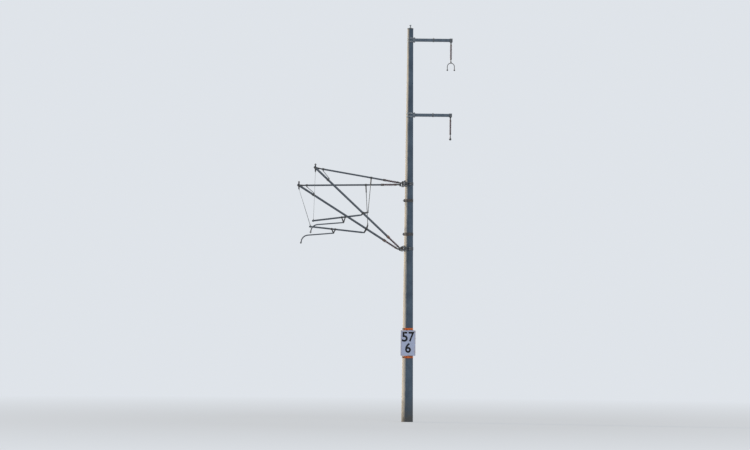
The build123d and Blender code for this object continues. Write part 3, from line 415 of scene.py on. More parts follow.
def lathe(starts, ways, along, radius, turn):
    """Rings round one or more axes, which all get the same: the centre of a ring lies at a distance
    along the axis, and its points at a radius and a turn in two directions square to the axis."""
    starts = np.asarray(starts, float).reshape(-1, 1, 1, 3)
    ways = np.broadcast_to(np.reshape(ways, (-1, 1, 1, 3)), starts.shape)
    ways = ways / np.linalg.norm(ways, axis=-1, keepdims=True)
    first = np.cross(ways, np.where(np.abs(ways[..., 2:]) < 0.9, [0.0, 0.0, 1.0], [1.0, 0.0, 0.0]))
    first /= np.linalg.norm(first, axis=-1, keepdims=True)
    ring = np.cos(turn)[..., None] * first + np.sin(turn)[..., None] * np.cross(ways, first)
    return starts + np.reshape(along, (-1, 1, 1)) * ways + np.asarray(radius)[..., None] * ring


def corners(first, second):
    """The four corners of a rectangle round the middle, from half its length and half its width."""
    return [(-first, -second), (-first, second), (first, -second), (first, second)]


def screw_heads(seats, ways, flats, height, end=0.0):
    """Hexagon heads or nuts on washers. At a turn t and a distance s along its axis the radius is the
    washer's circle, then the smaller of the hexagon, half the flats over the cosine of the turn from
    the nearest flat, and the circle of a chamfer, then the circle of the screw's end, end long. No
    two heads side by side are turned alike."""
    turn = np.radians(np.arange(0, 360, 30))
    hexagon = flats / 2 / np.cos((turn + np.pi / 6) % (np.pi / 3) - np.pi / 6)
    washer, chamfer = 0.12 * flats, 0.14 * height
    top = washer + height
    along = np.array([0, 0, washer, washer, top - chamfer, top, top, top + end, top + end])
    circle = flats * np.array([0.0, 0.0, 0.0, 1.0, 1.0, 0.49, 0.29, 0.27, 0.0])
    radius = np.minimum(hexagon, circle[:, None])
    radius[1:3] = 0.62 * flats
    spin = 2.4 * np.arange(np.size(seats) // 3)[:, None, None]
    return lathe(seats, ways, along - head_sink, radius, turn + spin)


def fix_piece(piece, body):
    """Let a piece ride on a body."""
    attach(piece, body)


def add_piece(name, points, finish, body, round_across=True):
    """A surface that rides on a body."""
    fix_piece(lay_surface(name, points, finish, round_across), body)


def add_fasteners(name, points, body="mast"):
    """Zinc-plated screws, nuts, washers or pins that ride on a body."""
    add_piece(name, points, screw_zinc, body)


def add_screws(name, placed, sizes, body="mast"):
    """Screws of one kind, each placed by its seat and the way in which it stands out."""
    seats, ways = zip(*placed)
    add_fasteners(name, screw_heads(seats, ways, *sizes), body)


cap_paint, tree, place, patches, specks = start_finish("dark_cap_paint", 18.0, 350.0)
rusty, broken = use_group(tree, rust, place, 24.0, 0.35)
base = mix_colours(tree, broken, mix_colours(tree, patches, cap_grey, cap_faded), rusty)
end_finish(tree, base, between(tree, specks, 0.45, 0.70), specks, 0.0003)
dress(cap_paint, "mast_cap")

screw_zinc = galvanised("fastener_zinc", screw_dark, screw_pale, 0.42)
dress(galvanised("weathered_zinc", zinc_dark, zinc_pale, 0.15), "head_wire_clamp")
low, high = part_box("head_wire_clamp")
placed = [((x, y, low[2] + head_base_top), (0, 0, 1)) for x, y in corners(*head_base_hole)]
add_screws("head_base_screws", placed, head_base_screw)
placed = [((side * head_jaw_out, y, high[2] - head_jaw_drop), (side, 0, 0))
          for side, y in corners(1, head_jaw_along)]
add_screws("head_jaw_screws", placed, head_jaw_screw)

# The kilometre board: a folded sheet with white enamel, painted a lavender blue as painted shade,
# chipped and rusty at its edges, and black painted digits. It is screwed to a flat rail, which two
# steel straps hold to the pole, all painted orange, and a dark iron buckle beside the board draws each
# strap tight.
board_digits = (("5", -0.108, 0.205), ("7", 0.108, 0.205), ("6", 0.0, -0.155))
digit_height = 0.325
digit_width = 0.190
digit_stroke = 0.025
digit_relief = (0.0002, 0.0005)
board_hole = (0.016, 0.385)
board_screw = (0.010, 0.004)
buckle_turn = np.radians(205)
buckle_half = (0.42, 0.027)
buckle_plate = 0.0035
buckle_block = 0.013
buckle_screw_turn = 0.16
buckle_screw_out = 0.0155
buckle_screw = (0.013, 0.006)
strap_half = 0.031
# The enamel's colours are a lavender blue, which is painted shade on white enamel.
enamel_painted_shade = (0.44, 0.49, 0.66)
enamel_dull_painted_shade = (0.36, 0.40, 0.53)
enamel_streak = (0.36, 0.33, 0.30)
enamel_stain = (0.40, 0.25, 0.16)
strap_orange = (0.62, 0.104, 0.003)
strap_faded = (0.68, 0.145, 0.008)
digit_black = (0.004, 0.004, 0.006)
digit_faded = (0.016, 0.016, 0.018)
digit_chip = (0.22, 0.21, 0.22)
cast_dark = (0.040, 0.041, 0.044)
cast_worn = (0.085, 0.084, 0.082)
low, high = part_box("number_board")
board_front = low[1]
board_middle = (low[2] + high[2]) / 2
board_half = ((high[0] - low[0]) / 2, (high[2] - low[2]) / 2)

board_paint, tree, place, patches, specks = start_finish("board_enamel", 9.0, 240.0)
rain = use_group(tree, streaks, place, 60.0)[0]
axes = add_node(tree, "SeparateXYZ", {"Vector": place}).outputs
from_side = work_out(tree, "SUBTRACT", board_half[0], work_out(tree, "ABSOLUTE", axes["X"]))
from_end = work_out(tree, "SUBTRACT", axes["Z"], board_middle)
from_end = work_out(tree, "SUBTRACT", board_half[1], work_out(tree, "ABSOLUTE", from_end))
from_edge = work_out(tree, "MINIMUM", from_side, from_end)
ragged = work_out(tree, "SUBTRACT", from_edge, times(tree, patches, 0.012))
chipped = spread_range(tree, ragged, -0.006, -0.003, 1.0, 0.0)
stained = times(tree, spread_range(tree, from_edge, 0.0, 0.05, 0.75, 0.0), patches)
rusty, broken = use_group(tree, rust, place, 30.0, 0.22)
# Painted shade: the white enamel is given a lavender blue.
base = mix_colours(tree, times(tree, patches, 0.35), enamel_painted_shade, enamel_dull_painted_shade)
base = lay_over(tree, base, rain, 0.35, enamel_streak)
base = mix_colours(tree, stained, base, enamel_stain)
base = mix_colours(tree, work_out(tree, "MAXIMUM", chipped, broken), base, rusty)
rough = between(tree, work_out(tree, "MAXIMUM", chipped, rain), 0.26, 0.75)
end_finish(tree, base, rough, work_out(tree, "SUBTRACT", patches, chipped), 0.0006)
dress(board_paint, "number_board")

strap_paint, tree, place, patches, specks = start_finish("strap_paint", 22.0, 300.0)
rusty, broken = use_group(tree, rust, place, 26.0, 0.52)
worn = use_group(tree, edge_wear, place, 0.004)[0]
bare = work_out(tree, "MAXIMUM", broken, worn)
base = mix_colours(tree, bare, mix_colours(tree, patches, strap_orange, strap_faded), rusty)
height = work_out(tree, "SUBTRACT", specks, bare)
end_finish(tree, base, between(tree, bare, 0.42, 0.9), height, 0.0005)
dress(strap_paint, "board_straps", "board_rail")

digit_paint, tree, place, patches, specks = start_finish("digit_paint", 14.0, 380.0, specular=0.2)
base = mix_colours(tree, specks, digit_black, digit_faded)
base = mix_colours(tree, spread_range(tree, patches, 0.90, 1.0, 0.0, 0.5), base, digit_chip)
end_finish(tree, base, between(tree, patches, 0.55, 0.80), specks, 0.0002)


def paint_digit(digit, across, above):
    """A digit laid on the board's face: the letter's flat shape is stretched from its own corners to
    the digit's width and height round a middle point, and stands half a millimetre proud."""
    letter = bpy.data.curves.new("digit", "FONT")
    letter.body = digit
    letter.offset = digit_stroke
    letter.extrude = 0.5
    letter.resolution_u = 10
    holder = add_object("digit", letter)
    shape = bpy.data.meshes.new_from_object(holder.evaluated_get(bpy.context.evaluated_depsgraph_get()))
    bpy.data.objects.remove(holder)
    bpy.data.curves.remove(letter)
    points = np.empty(len(shape.vertices) * 3)
    shape.vertices.foreach_get("co", points)
    points = points.reshape(-1, 3)
    part = (points - points.min(axis=0)) / np.ptp(points, axis=0)
    x = across + (part[:, 0] - 0.5) * digit_width
    y = board_front + digit_relief[0] - part[:, 2] * sum(digit_relief)
    z = board_middle + above + (part[:, 1] - 0.5) * digit_height
    shape.vertices.foreach_set("co", np.stack([x, y, z], axis=1).ravel())
    close_mesh(shape)
    fix_piece(show_mesh("board_digit_" + digit, shape, digit_paint), "mast")


for digit, across, above in board_digits:
    paint_digit(digit, across, above)
placed = [((x, board_front, board_middle + z), (0, -1, 0)) for x, z in corners(*board_hole)]
add_screws("board_screws", placed, board_screw)


def casting(name, rust_amount):
    """A dark casting: sand grain from the mould, worn paler in patches, rusty in spots and at edges."""
    finish, tree, place, patches, specks = start_finish(name, 26.0, 420.0, metallic=0.35)
    sand = use_group(tree, pits, place, 260.0, 0.55)[0]
    worn = use_group(tree, edge_wear, place, 0.0025)[0]
    rusty, broken = use_group(tree, rust, place, 21.0, rust_amount)
    bare = work_out(tree, "MAXIMUM", broken, times(tree, worn, 0.45))
    base = lay_over(tree, mix_colours(tree, patches, cast_dark, cast_worn), bare, 0.85, rusty)
    height = work_out(tree, "SUBTRACT", specks, times(tree, sand, 0.7))
    end_finish(tree, base, between(tree, specks, 0.48, 0.80), height, 0.0006)
    return finish


def buckle(height):
    """A strap's buckle: a plate bowed to the pole, whose radius at a turn is the strap's, raised by a
    block that is rounded as the fourth root of a cosine along it and, across it, as the square root
    of what the eighth power of the rise leaves of 1."""
    turn = buckle_turn + np.linspace(-buckle_half[0], buckle_half[0], 33)[:, None]
    rise = np.linspace(-1, 1, 13)
    bulge = np.clip(np.cos((turn - buckle_turn) / buckle_half[0] * np.pi / 2), 0, 1) ** 0.25
    swell = np.clip(1 - rise ** 8, 0, 1) ** 0.5
    radius = pole_radius(height) + buckle_plate + buckle_block * bulge * swell
    z = height + buckle_half[1] * rise * np.ones_like(radius)
    return np.stack([radius * np.cos(turn), radius * np.sin(turn), z], axis=-1)


def on_pole(turn, height, out, rise=0.0):
    """A place out from the pole's skin as it is at a height, then raised, and the way outwards."""
    way = np.array([np.cos(turn), np.sin(turn), 0.0])
    return (pole_radius(height) + out) * way + (0, 0, height + rise), way


low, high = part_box("board_straps")
strap_heights = (low[2] + strap_half, high[2] - strap_half)
add_piece("strap_buckles", [buckle(height) for height in strap_heights], casting("buckle_iron", 0.60),
          "mast", round_across=False)
placed = [on_pole(buckle_turn + turn, height, buckle_screw_out)
          for turn in (-buckle_screw_turn, buckle_screw_turn) for height in strap_heights]
add_screws("buckle_screws", placed, buckle_screw)

# The cross-beams: hot-dip galvanised channels, dull and dark with age, each held to the pole by a half
# band behind it, whose four threaded rods pass through the beam's web and take a nut at either end.
rod_radius = 0.011
rod_rise = 0.030
rod_inset = 0.026
rod_nut = (0.034, 0.017)
thread_start = 0.020
thread_length = 0.0138
ear_thickness = 0.016
beam_dark = (0.060, 0.068, 0.078)
beam_pale = (0.130, 0.142, 0.155)
beam_zinc = galvanised("beam_zinc", beam_dark, beam_pale, 0.30)
dress(beam_zinc, "upper_cross_beam", "lower_cross_beam", "upper_beam_band", "lower_beam_band")


def threads(starts, ways, radius, length, pitch=0.003):
    """A screw thread as rings: the radius along the axis goes up and down as a triangle wave, one
    ring each pitch, from the rod's own radius to a twentieth more, and closes at both ends."""
    rings = int(round(length / pitch))
    along = np.concatenate([[0.0], np.linspace(0, length, 2 * rings + 1), [length]])
    crest = np.concatenate([[0.0], radius * (1.0 + 0.05 * (np.arange(2 * rings + 1) % 2)), [0.0]])
    return lathe(starts, ways, along, crest[:, None], np.radians(np.arange(0, 360, 30)))


for level in ("upper", "lower"):
    low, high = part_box(level + "_beam_band")
    middle = (low[2] + high[2]) / 2
    nuts, turned = [], []
    for way, face in ((-1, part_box(level + "_cross_beam")[0][0]), (1, ear_thickness)):
        spots = np.array([(face, y, middle + z) for y, z in corners(high[1] - rod_inset, rod_rise)])
        nuts.append(screw_heads(spots, (way, 0, 0), *rod_nut))
        turned.append(threads(spots + (way * thread_start, 0, 0), (way, 0, 0), rod_radius, thread_length))
    add_fasteners(level + "_band_nuts", np.concatenate(nuts))
    add_fasteners(level + "_band_threads", np.concatenate(turned))

# The swivel brackets: plates with two ears, bolted to the beams' webs, galvanised. Between the ears
# turns a dark cast swivel on an upright pin, with a fork whose cross pin holds a tube's insulator.
bracket_plate = 0.010
bracket_hole = (0.033, 0.061)
bracket_bolt = (0.018, 0.008)
cast_iron = casting("cast_iron", 0.45)
for side in ("near", "far"):
    for level in ("upper", "lower"):
        bracket = side + "_" + level + "_bracket"
        dress(beam_zinc, bracket)
        dress(cast_iron, side + "_" + level + "_swivel")
        middle = np.mean(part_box(bracket), axis=0)
        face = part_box(level + "_cross_beam")[0][0] - bracket_plate
        placed = [((face, middle[1] + y, middle[2] + z), (-1, 0, 0)) for y, z in corners(*bracket_hole)]
        add_screws(bracket + "_bolts", placed, bracket_bolt)

# The cantilevers' lines, from which their clamps and screws take their places: the swivels' forks, the
# tip, the strut's two ends near it, the joint on the diagonal tube, the eye of the hanger rod over it,
# and the registration tube's two ends.
hinge_spacing = 2.110
fork_reach = 0.072
catenary_lift = 0.108
tip_eye_back = 0.155
strut_top_back = 0.260
strut_foot_back = 0.560
joint_lug_up = 0.125
tube_radius = {"top": 0.0275, "diagonal": 0.035, "registration": 0.0275}
plans = {
    "near": {"hanger_out": 1.265, "joint_out": 1.520, "hanger_shift": 0.100, "lug_down": 0.085,
             "registration_out": 3.170, "registration_rise": -0.204, "drop_out": 2.150},
    "far": {"hanger_out": 1.380, "joint_out": 1.350, "hanger_shift": -0.030, "lug_down": 0.145,
            "registration_out": 3.230, "registration_rise": 0.185, "drop_out": 2.430},
}
mounts = {mount["name"]: np.array(mount["pos_m"]) for mount in frame["record"]["mounts"]}
joints = {joint["name"]: np.array(joint["pos_m"]) for joint in frame["record"]["behaviour"]["joints"]}


def along(start, way, out):
    """The point on a line from start at a distance out from the pole's axis."""
    return start + way * ((-out - start[0]) / way[0])


def unit(vector):
    """A vector brought to length one."""
    return vector / np.linalg.norm(vector)


def above(way):
    """The direction square to a tube, turned upwards."""
    return np.array([way[2], 0.0, -way[0]])


for side, plan in plans.items():
    hinge = joints[side + "_cantilever_swing"]
    plan["low_fork"] = hinge - (fork_reach, 0, 0)
    plan["top_fork"] = plan["low_fork"] + (0, 0, hinge_spacing)
    plan["tip"] = mounts[side + "_catenary_wire"] - (0, 0, catenary_lift)
    plan["top_way"] = unit(plan["tip"] - plan["top_fork"])
    plan["diagonal_way"] = unit(plan["tip"] - plan["low_fork"])
    plan["top_eye"] = plan["tip"] - plan["top_way"] * tip_eye_back
    plan["strut_top"] = plan["tip"] - plan["top_way"] * strut_top_back
    plan["strut_foot"] = plan["tip"] - plan["diagonal_way"] * strut_foot_back
    plan["joint"] = along(plan["low_fork"], plan["diagonal_way"], plan["joint_out"])
    plan["tube_eye"] = plan["joint"] - above(plan["diagonal_way"]) * plan["lug_down"]
    tube_end = plan["tube_eye"][2] + plan["registration_rise"]
    plan["tube_end"] = np.array([-plan["registration_out"], hinge[1], tube_end])
    plan["tube_way"] = unit(plan["tube_end"] - plan["tube_eye"])
    plan["hanger_top"] = along(plan["top_fork"], plan["top_way"], plan["hanger_out"])
    hanger_base = plan["joint"] - plan["diagonal_way"] * plan["hanger_shift"]
    plan["hanger_eye"] = hanger_base + above(plan["diagonal_way"]) * joint_lug_up
    plan["drop"] = along(plan["tube_eye"], plan["tube_way"], plan["drop_out"])
    plan["arm_eye"] = joints[side + "_arm_lift"]

# The tube insulators: a glass-fibre rod in a sleeve of silicone with thin sheds, moulded in one, now
# a dusty brown mauve, between a galvanised cap with a flat tongue and a dark cast socket for the tube.
sheds_start = 0.106
sheds_end = 0.466
socket_screw_out = 0.0091
socket_screw_places = (0.055, 0.083)
socket_screw = (0.016, 0.009)
silicone_clean = (0.120, 0.066, 0.080)
silicone_dust = (0.200, 0.145, 0.150)
socket_dark = (0.055, 0.056, 0.058)
socket_worn = (0.12, 0.12, 0.12)

# A stretch along a line: 1 between two distances from its start, and 0 before and after.
stretch, given, out = start_group(
    "stretch_along_line", ("Place", "Start", "Way", "From", "To"), ("Mask",))
reach = work_vectors(stretch, "SUBTRACT", given["Place"], given["Start"])
reach = work_vectors(stretch, "DOT_PRODUCT", reach, given["Way"])
past_start = work_out(stretch, "GREATER_THAN", reach, given["From"])
before_end = work_out(stretch, "LESS_THAN", reach, given["To"])
feed(stretch, out["Mask"], times(stretch, past_start, before_end))


def turned_up(tree):
    """How far a surface faces upwards, from -1 to 1, in its piece's own directions."""
    normal = add_node(tree, "TexCoord").outputs["Normal"]
    return add_node(tree, "SeparateXYZ", {"Vector": normal}).outputs["Z"]


def insulator_finish(name, start, way, rubber_from, rubber_to):
    """Silicone between two distances along the insulator's axis, and dark metal before and after."""
    finish, tree, place, patches, specks = start_finish(name, 20.0, 320.0)
    rusty, broken = use_group(tree, rust, place, 22.0, 0.65)
    rubber = use_group(tree, stretch, place, tuple(start), tuple(way), rubber_from, rubber_to)[0]
    dust = spread_range(tree, turned_up(tree), -0.2, 0.9, 0.15, 0.85)
    dust = times(tree, dust, between(tree, patches, 0.5, 1.0))
    skin = mix_colours(tree, dust, silicone_clean, silicone_dust)
    metal = mix_colours(tree, broken, mix_colours(tree, patches, socket_dark, socket_worn), rusty)
    base = mix_colours(tree, rubber, metal, skin)
    rough = between(tree, rubber, 0.5, 0.68)
    end_finish(tree, base, rough, specks, 0.0003, between(tree, rubber, 0.4, 0.0))
    return finish


for side, plan in plans.items():
    for kind, fork in (("top", "top_fork"), ("diagonal", "low_fork")):
        start, way = plan[fork], plan[kind + "_way"]
        node = side + "_" + kind + "_insulator"
        dress(insulator_finish(node + "_finish", start, way, sheds_start, sheds_end), node)
        out = tube_radius[kind] + socket_screw_out
        placed = [(start + way * (sheds_end + spot) + (0, y * out, 0), (0, y, 0))
                  for spot in socket_screw_places for y in (-1, 1)]
        add_screws(node + "_set_screws", placed, socket_screw, side + "_cantilever")

# The tubes of the cantilevers: drawn aluminium, dull and dark from brake dust, with fine paler lines
# along them, from the die and also a painted highlight. The steady arm is a thinner tube of the same, bent
# down at its end.
steady_way = (-0.996, 0.0, -0.087)
tube_pale = (0.114, 0.134, 0.160)
tube_dark = (0.050, 0.064, 0.084)
# A paler colour for the lines along the tube: die lines, and a painted highlight.
tube_line_highlight = (0.17, 0.195, 0.225)
tube_grime = (0.060, 0.057, 0.055)


def tube_finish(name, way):
    """Drawn tube: paler noise drawn out along the tube's own direction, as die lines and a painted
    highlight, under patches of grime.
    """
    finish, tree, place, patches, specks = start_finish(name, 6.0, 240.0)
    slope = float(np.arctan2(way[2], way[0]))
    turned = add_node(tree, "Mapping", {"Vector": place, "Rotation": (0.0, slope, 0.0)}).outputs[0]
    lines = add_node(tree, "Mapping", {"Vector": turned, "Scale": (0.02, 1.0, 1.0)}).outputs[0]
    # Paler lines drawn along the tube: die lines and a painted highlight.
    drawn = noise(tree, lines, 420.0, 3.0)
    grime = spread_range(tree, turned_up(tree), -0.3, 1.0, 0.15, 0.7)
    grime = times(tree, grime, between(tree, specks, 0.4, 1.0))
    base = mix_colours(tree, patches, tube_dark, tube_pale)
    base = mix_colours(tree, grime, lay_over(tree, base, drawn, 0.35, tube_line_highlight), tube_grime)
    rough = between(tree, patches, 0.40, 0.62)
    end_finish(tree, base, rough, drawn, 0.0002, between(tree, grime, 0.65, 0.1))
    return finish


for side, plan in plans.items():
    for tube, way in (("top_tube", plan["top_way"]), ("diagonal_tube", plan["diagonal_way"]),
                      ("registration_tube", plan["tube_way"]), ("steady_arm", steady_way)):
        dress(tube_finish(side + "_" + tube + "_finish", way), side + "_" + tube)

# The clamps on the tubes: cast halves drawn together by screws through the ears on both sides, with
# washers and spring pins where a round pin passes through a fork. The gusset strut and the hanger rod
# carry the same clamps. A washer is given by its distance from the pin's middle and its radius.
ear_face = 0.013
ear_middle = 0.0223
ear_spots = (-0.016, 0.016)
ear_screw = (0.017, 0.0065)
ear_nut = (0.017, 0.008, 0.006)
drop_half = 0.060
washer_thickness = 0.003
eye_washer = (0.0176, 0.0125)
eye_pin_out = 0.0232
fork_washer = (0.0243, 0.0155)
fork_pin_out = 0.0308
fork_pin_way = (0.2, 0, 1.0)
pin_leg = (-0.015, 0.011)
pin_ring = 0.0045
pin_wire = 0.0014
catenary_screw_half = 0.027
catenary_screw = (0.017, 0.008, 0.007)
contact_lean = np.radians(-10)
contact_screw_out = 0.023
contact_screw_up = 0.013
contact_screw_half = 0.015
contact_screw = (0.013, 0.005)


def ring_screws(centre, way, radius, spots=ear_spots):
    """Heads above and nuts below a clamp's ears, at the spots along its tube."""
    up = above(way)
    out = radius + ear_middle
    middles = np.array([centre + way * spot + (0, y * out, 0) for spot in spots for y in (-1, 1)])
    heads = screw_heads(middles + up * ear_face, up, *ear_screw)
    return [heads, screw_heads(middles - up * ear_face, -up, *ear_nut)]


def pin_washers(places, half, radius):
    """Flat washers on both ends of cross pins: a disc with a chamfer on both sides of its rim."""
    along = half + washer_thickness * np.array([0.0, 0.0, 0.3, 0.7, 1.0, 1.0])
    circle = radius * np.array([[0.0], [1.0], [1.06], [1.06], [1.0], [0.0]])
    turn = np.radians(np.arange(0, 360, 20))
    return np.concatenate([lathe(places, (0, way, 0), along, circle, turn) for way in (-1, 1)])


def bent_wire(path, radius, around=8):
    """A round wire along a path of points: at each, a circle square to the path, and closed ends. The
    circles start from a slanting direction that no path here takes."""
    path = np.asarray(path, float)
    way = np.gradient(path, axis=0)
    way /= np.linalg.norm(way, axis=1, keepdims=True)
    first = np.cross(way, [0.31, 0.94, 0.13])
    first /= np.linalg.norm(first, axis=1, keepdims=True)
    second = np.cross(way, first)
    turn = np.linspace(0, 2 * np.pi, around, endpoint=False)[:, None]
    rings = path[:, None] + radius * (np.cos(turn) * first[:, None] + np.sin(turn) * second[:, None])
    start, end = np.repeat(path[:1, None], around, axis=1), np.repeat(path[-1:, None], around, axis=1)
    return np.concatenate([start, rings, end])


def split_pin(place, way):
    """A spring pin through a cross pin's end: a leg, then four fifths of a circle as its ring."""
    way = unit(np.asarray(way, float))
    leg = np.linspace(*pin_leg, 6)[:, None] * way
    turn = np.linspace(0, 1.6 * np.pi, 13)[1:, None]
    beside = np.cross(way, [0.0, 1.0, 0.0])
    ring = pin_leg[1] * way + pin_ring * (np.sin(turn) * way + (1 - np.cos(turn)) * beside)
    return bent_wire(place + np.concatenate([leg, ring]), pin_wire)


for side, plan in plans.items():
    body = side + "_cantilever"
    dress(cast_iron, side + "_tip_clamp", side + "_registration_joint", side + "_drop_bracket",
          side + "_catenary_clamp", side + "_contact_clamp")
    screws = []
    for centre, tube in (("tip", "diagonal"), ("joint", "diagonal"), ("hanger_top", "top"),
                         ("strut_top", "top"), ("strut_foot", "diagonal")):
        screws += ring_screws(plan[centre], plan[tube + "_way"], tube_radius[tube])
    for shift in (-drop_half, drop_half):
        screws += ring_screws(plan["drop"] + plan["tube_way"] * shift, plan["tube_way"],
                              tube_radius["registration"], (0.0,))
    add_fasteners(side + "_clamp_screws", np.concatenate(screws), body)
    pins = [plan["top_eye"], plan["hanger_eye"], plan["tube_eye"], plan["arm_eye"]]
    add_fasteners(side + "_pin_washers", pin_washers(pins, *eye_washer), body)
    split = [split_pin(pin + (0, y * eye_pin_out, 0), plan["diagonal_way"])
             for pin in pins for y in (-1, 1)]
    add_fasteners(side + "_split_pins", split, body)
    pins = [plan["low_fork"], plan["top_fork"]]
    add_fasteners(side + "_fork_washers", pin_washers(pins, *fork_washer), body)
    split = [split_pin(pin + (0, y * fork_pin_out, 0), fork_pin_way) for pin in pins for y in (-1, 1)]
    add_fasteners(side + "_fork_split_pins", split, body)
    low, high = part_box(side + "_catenary_clamp")
    middle = (np.array(low) + high) / 2
    placed = [((middle[0], middle[1] + y, high[2]), (0, 0, 1))
              for y in (-catenary_screw_half, catenary_screw_half)]
    add_screws(side + "_catenary_clamp_screws", placed, catenary_screw, body)
    across = np.array([np.cos(contact_lean), 0, np.sin(contact_lean)])
    middle = mounts[side + "_contact_wire"] - above(across) * contact_screw_up
    placed = [(middle + way * across * contact_screw_out + (0, y, 0), way * across)
              for way, y in corners(1, contact_screw_half)]
    add_screws(side + "_contact_clamp_screws", placed, contact_screw, side + "_steady_arm")

# The rods and ropes that hold the registration tubes: a hanger rod with a threaded sleeve and lock nuts,
# a gusset strut, and a stranded steel rope from the tip down to the registration tube's end.
clamp_wall = 0.009
strut_eyes = (0.070, 0.075)
rope_radius = 0.004
rope_ring_back = 0.045
rope_end = 0.022
rope_gap = 0.0003
hanger_radius = 0.011
hanger_eye_length = 0.052
hanger_nut = (0.034, 0.014)
sleeve_length = 0.200
sleeve_nut = (0.036, 0.016)
sleeve_thread_start = 0.105
eye_thread_start = 0.068
hanger_thread = 0.087
rod_grey = (0.085, 0.092, 0.100)
rod_bright = (0.185, 0.195, 0.205)


def rod_finish(name, start, way, bare_from, bare_to):
    """A dull steel rod, bare between two distances along its line and dark cast iron past them."""
    finish, tree, place, patches, specks = start_finish(name, 13.0, 300.0)
    rusty, broken = use_group(tree, rust, place, 18.0, 0.35)
    bare = use_group(tree, stretch, place, tuple(start), tuple(way), bare_from, bare_to)[0]
    rod = mix_colours(tree, patches, rod_grey, rod_bright)
    iron = mix_colours(tree, patches, cast_dark, cast_worn)
    base = mix_colours(tree, broken, mix_colours(tree, bare, iron, rod), rusty)
    rough = between(tree, specks, 0.40, 0.62)
    end_finish(tree, base, rough, specks, 0.0003, between(tree, bare, 0.35, 0.65))
    return finish


def strands(start, end, radius, lay=0.055):
    """A rope of six strands: at a turn and a distance along, the radius is 1.13 of the rope's on a
    strand's crest and 0.97 where two strands meet, and between them it falls as the sine of three
    times the turn, less the twist, to the power 1.5. The twist is one turn each lay."""
    way = unit(end - start)
    length = np.linalg.norm(end - start)
    reach = np.linspace(0, length, int(length / 0.006))
    turn = np.radians(np.arange(0, 360, 15))
    twist = 2 * np.pi * reach[:, None] / lay
    lobes = radius * (1.13 - 0.16 * np.abs(np.sin(3 * (turn - twist))) ** 1.5)
    lobes = np.concatenate([0 * lobes[:1], lobes, 0 * lobes[-1:]])
    reach = np.concatenate([reach[:1], reach, reach[-1:]])
    first = unit(np.cross(way, [0.0, 1.0, 0.0]))
    second = np.cross(way, first)
    ring = np.cos(turn)[:, None] * first + np.sin(turn)[:, None] * second
    return start + reach[:, None, None] * way + lobes[..., None] * ring


steel = rod_finish("rod_steel", (0.0, 0.0, 0.0), (0.0, 0.0, 1.0), 0.0, pole_height)
for side, plan in plans.items():
    body = side + "_cantilever"
    dress(steel, side + "_support_wire")
    strut = plan["strut_foot"] - plan["strut_top"]
    strut_bare = (strut_eyes[0], np.linalg.norm(strut) - strut_eyes[1])
    finish = rod_finish(side + "_gusset_finish", plan["strut_top"], unit(strut), *strut_bare)
    dress(finish, side + "_gusset_strut")
    foot = plan["tube_end"] - plan["tube_way"] * rope_ring_back
    foot = foot + (0, 0, tube_radius["registration"] + clamp_wall)
    lug = plan["tip"] - (0, 0, catenary_lift)
    way = unit(lug - foot)
    rope = strands(foot + way * rope_end, lug - way * (2 * rope_end + rope_gap), rope_radius)
    add_piece(side + "_support_strands", rope, steel, body)
    eye = plan["hanger_eye"]
    way = unit(plan["hanger_top"] - eye)
    sleeve = plan["hanger_top"] - way * (tube_radius["top"] + clamp_wall + sleeve_length)
    rod_bare = (hanger_eye_length, np.linalg.norm(sleeve - eye))
    dress(rod_finish(side + "_hanger_finish", eye, way, *rod_bare), side + "_hanger_rod")
    nuts = [screw_heads(sleeve, -way, *sleeve_nut)]
    nuts.append(screw_heads(eye + way * hanger_eye_length, way, *hanger_nut))
    add_fasteners(side + "_hanger_nuts", np.concatenate(nuts), body)
    starts = [sleeve - way * sleeve_thread_start, eye + way * eye_thread_start]
    turned = threads(starts, way, hanger_radius, hanger_thread)
    add_piece(side + "_hanger_threads", turned, steel, body)

# The feeder arms: square steel tubes, galvanised and now blue-grey, welded to a plate on a two-band
# collar round the pole, with a screwed clamp halfway and a boxed end whose lugs carry the insulator.
arm_heights = {"upper": 12.450, "lower": 10.000}
arm_half = 0.050
bead_radius = 0.0042
collar_half = 0.052
collar_bolt_out = 0.0363
collar_ear_half = 0.0135
collar_bolt = (0.024, 0.011, 0.007)
plate_hole = 0.067
plate_thickness = 0.014
plate_bolt = (0.019, 0.009)
mid_screw_half = (0.034, 0.030)
mid_screw = (0.019, 0.010, 0.006)
end_screw_places = (0.030, 0.065)
end_screw_half = 0.028
end_screw = (0.017, 0.008)
swing_washer = (0.0193, 0.0125)
arm_dark = (0.067, 0.089, 0.117)
arm_pale = (0.138, 0.170, 0.205)
collar_pale = (0.270, 0.290, 0.305)
arm_zinc = galvanised("arm_zinc", arm_dark, arm_pale, 0.22)
collar_zinc = galvanised("collar_zinc", arm_pale, collar_pale, 0.20)


def weld_bead(face, height, half):
    """A weld round a square tube: a small round bead carried along the tube's outline, a square with
    rounded corners, whose own radius swells and shrinks along it as a fine sine wave."""
    turn = np.linspace(0, 2 * np.pi, 160, endpoint=False)
    square = half / np.maximum(np.abs(np.cos(turn)), np.abs(np.sin(turn)))
    square = np.minimum(square, half * 1.31)[:, None]
    swell = bead_radius * (1 + 0.16 * np.sin(turn * 60))[:, None]
    turn = turn[:, None]
    roll = np.radians(np.arange(0, 360, 45))
    reach = square + swell * np.cos(roll)
    x, y, z = face + swell * np.sin(roll), reach * np.cos(turn), height + reach * np.sin(turn)
    points = np.stack([x, y, z], axis=-1)
    return np.concatenate([points, points[:1]])


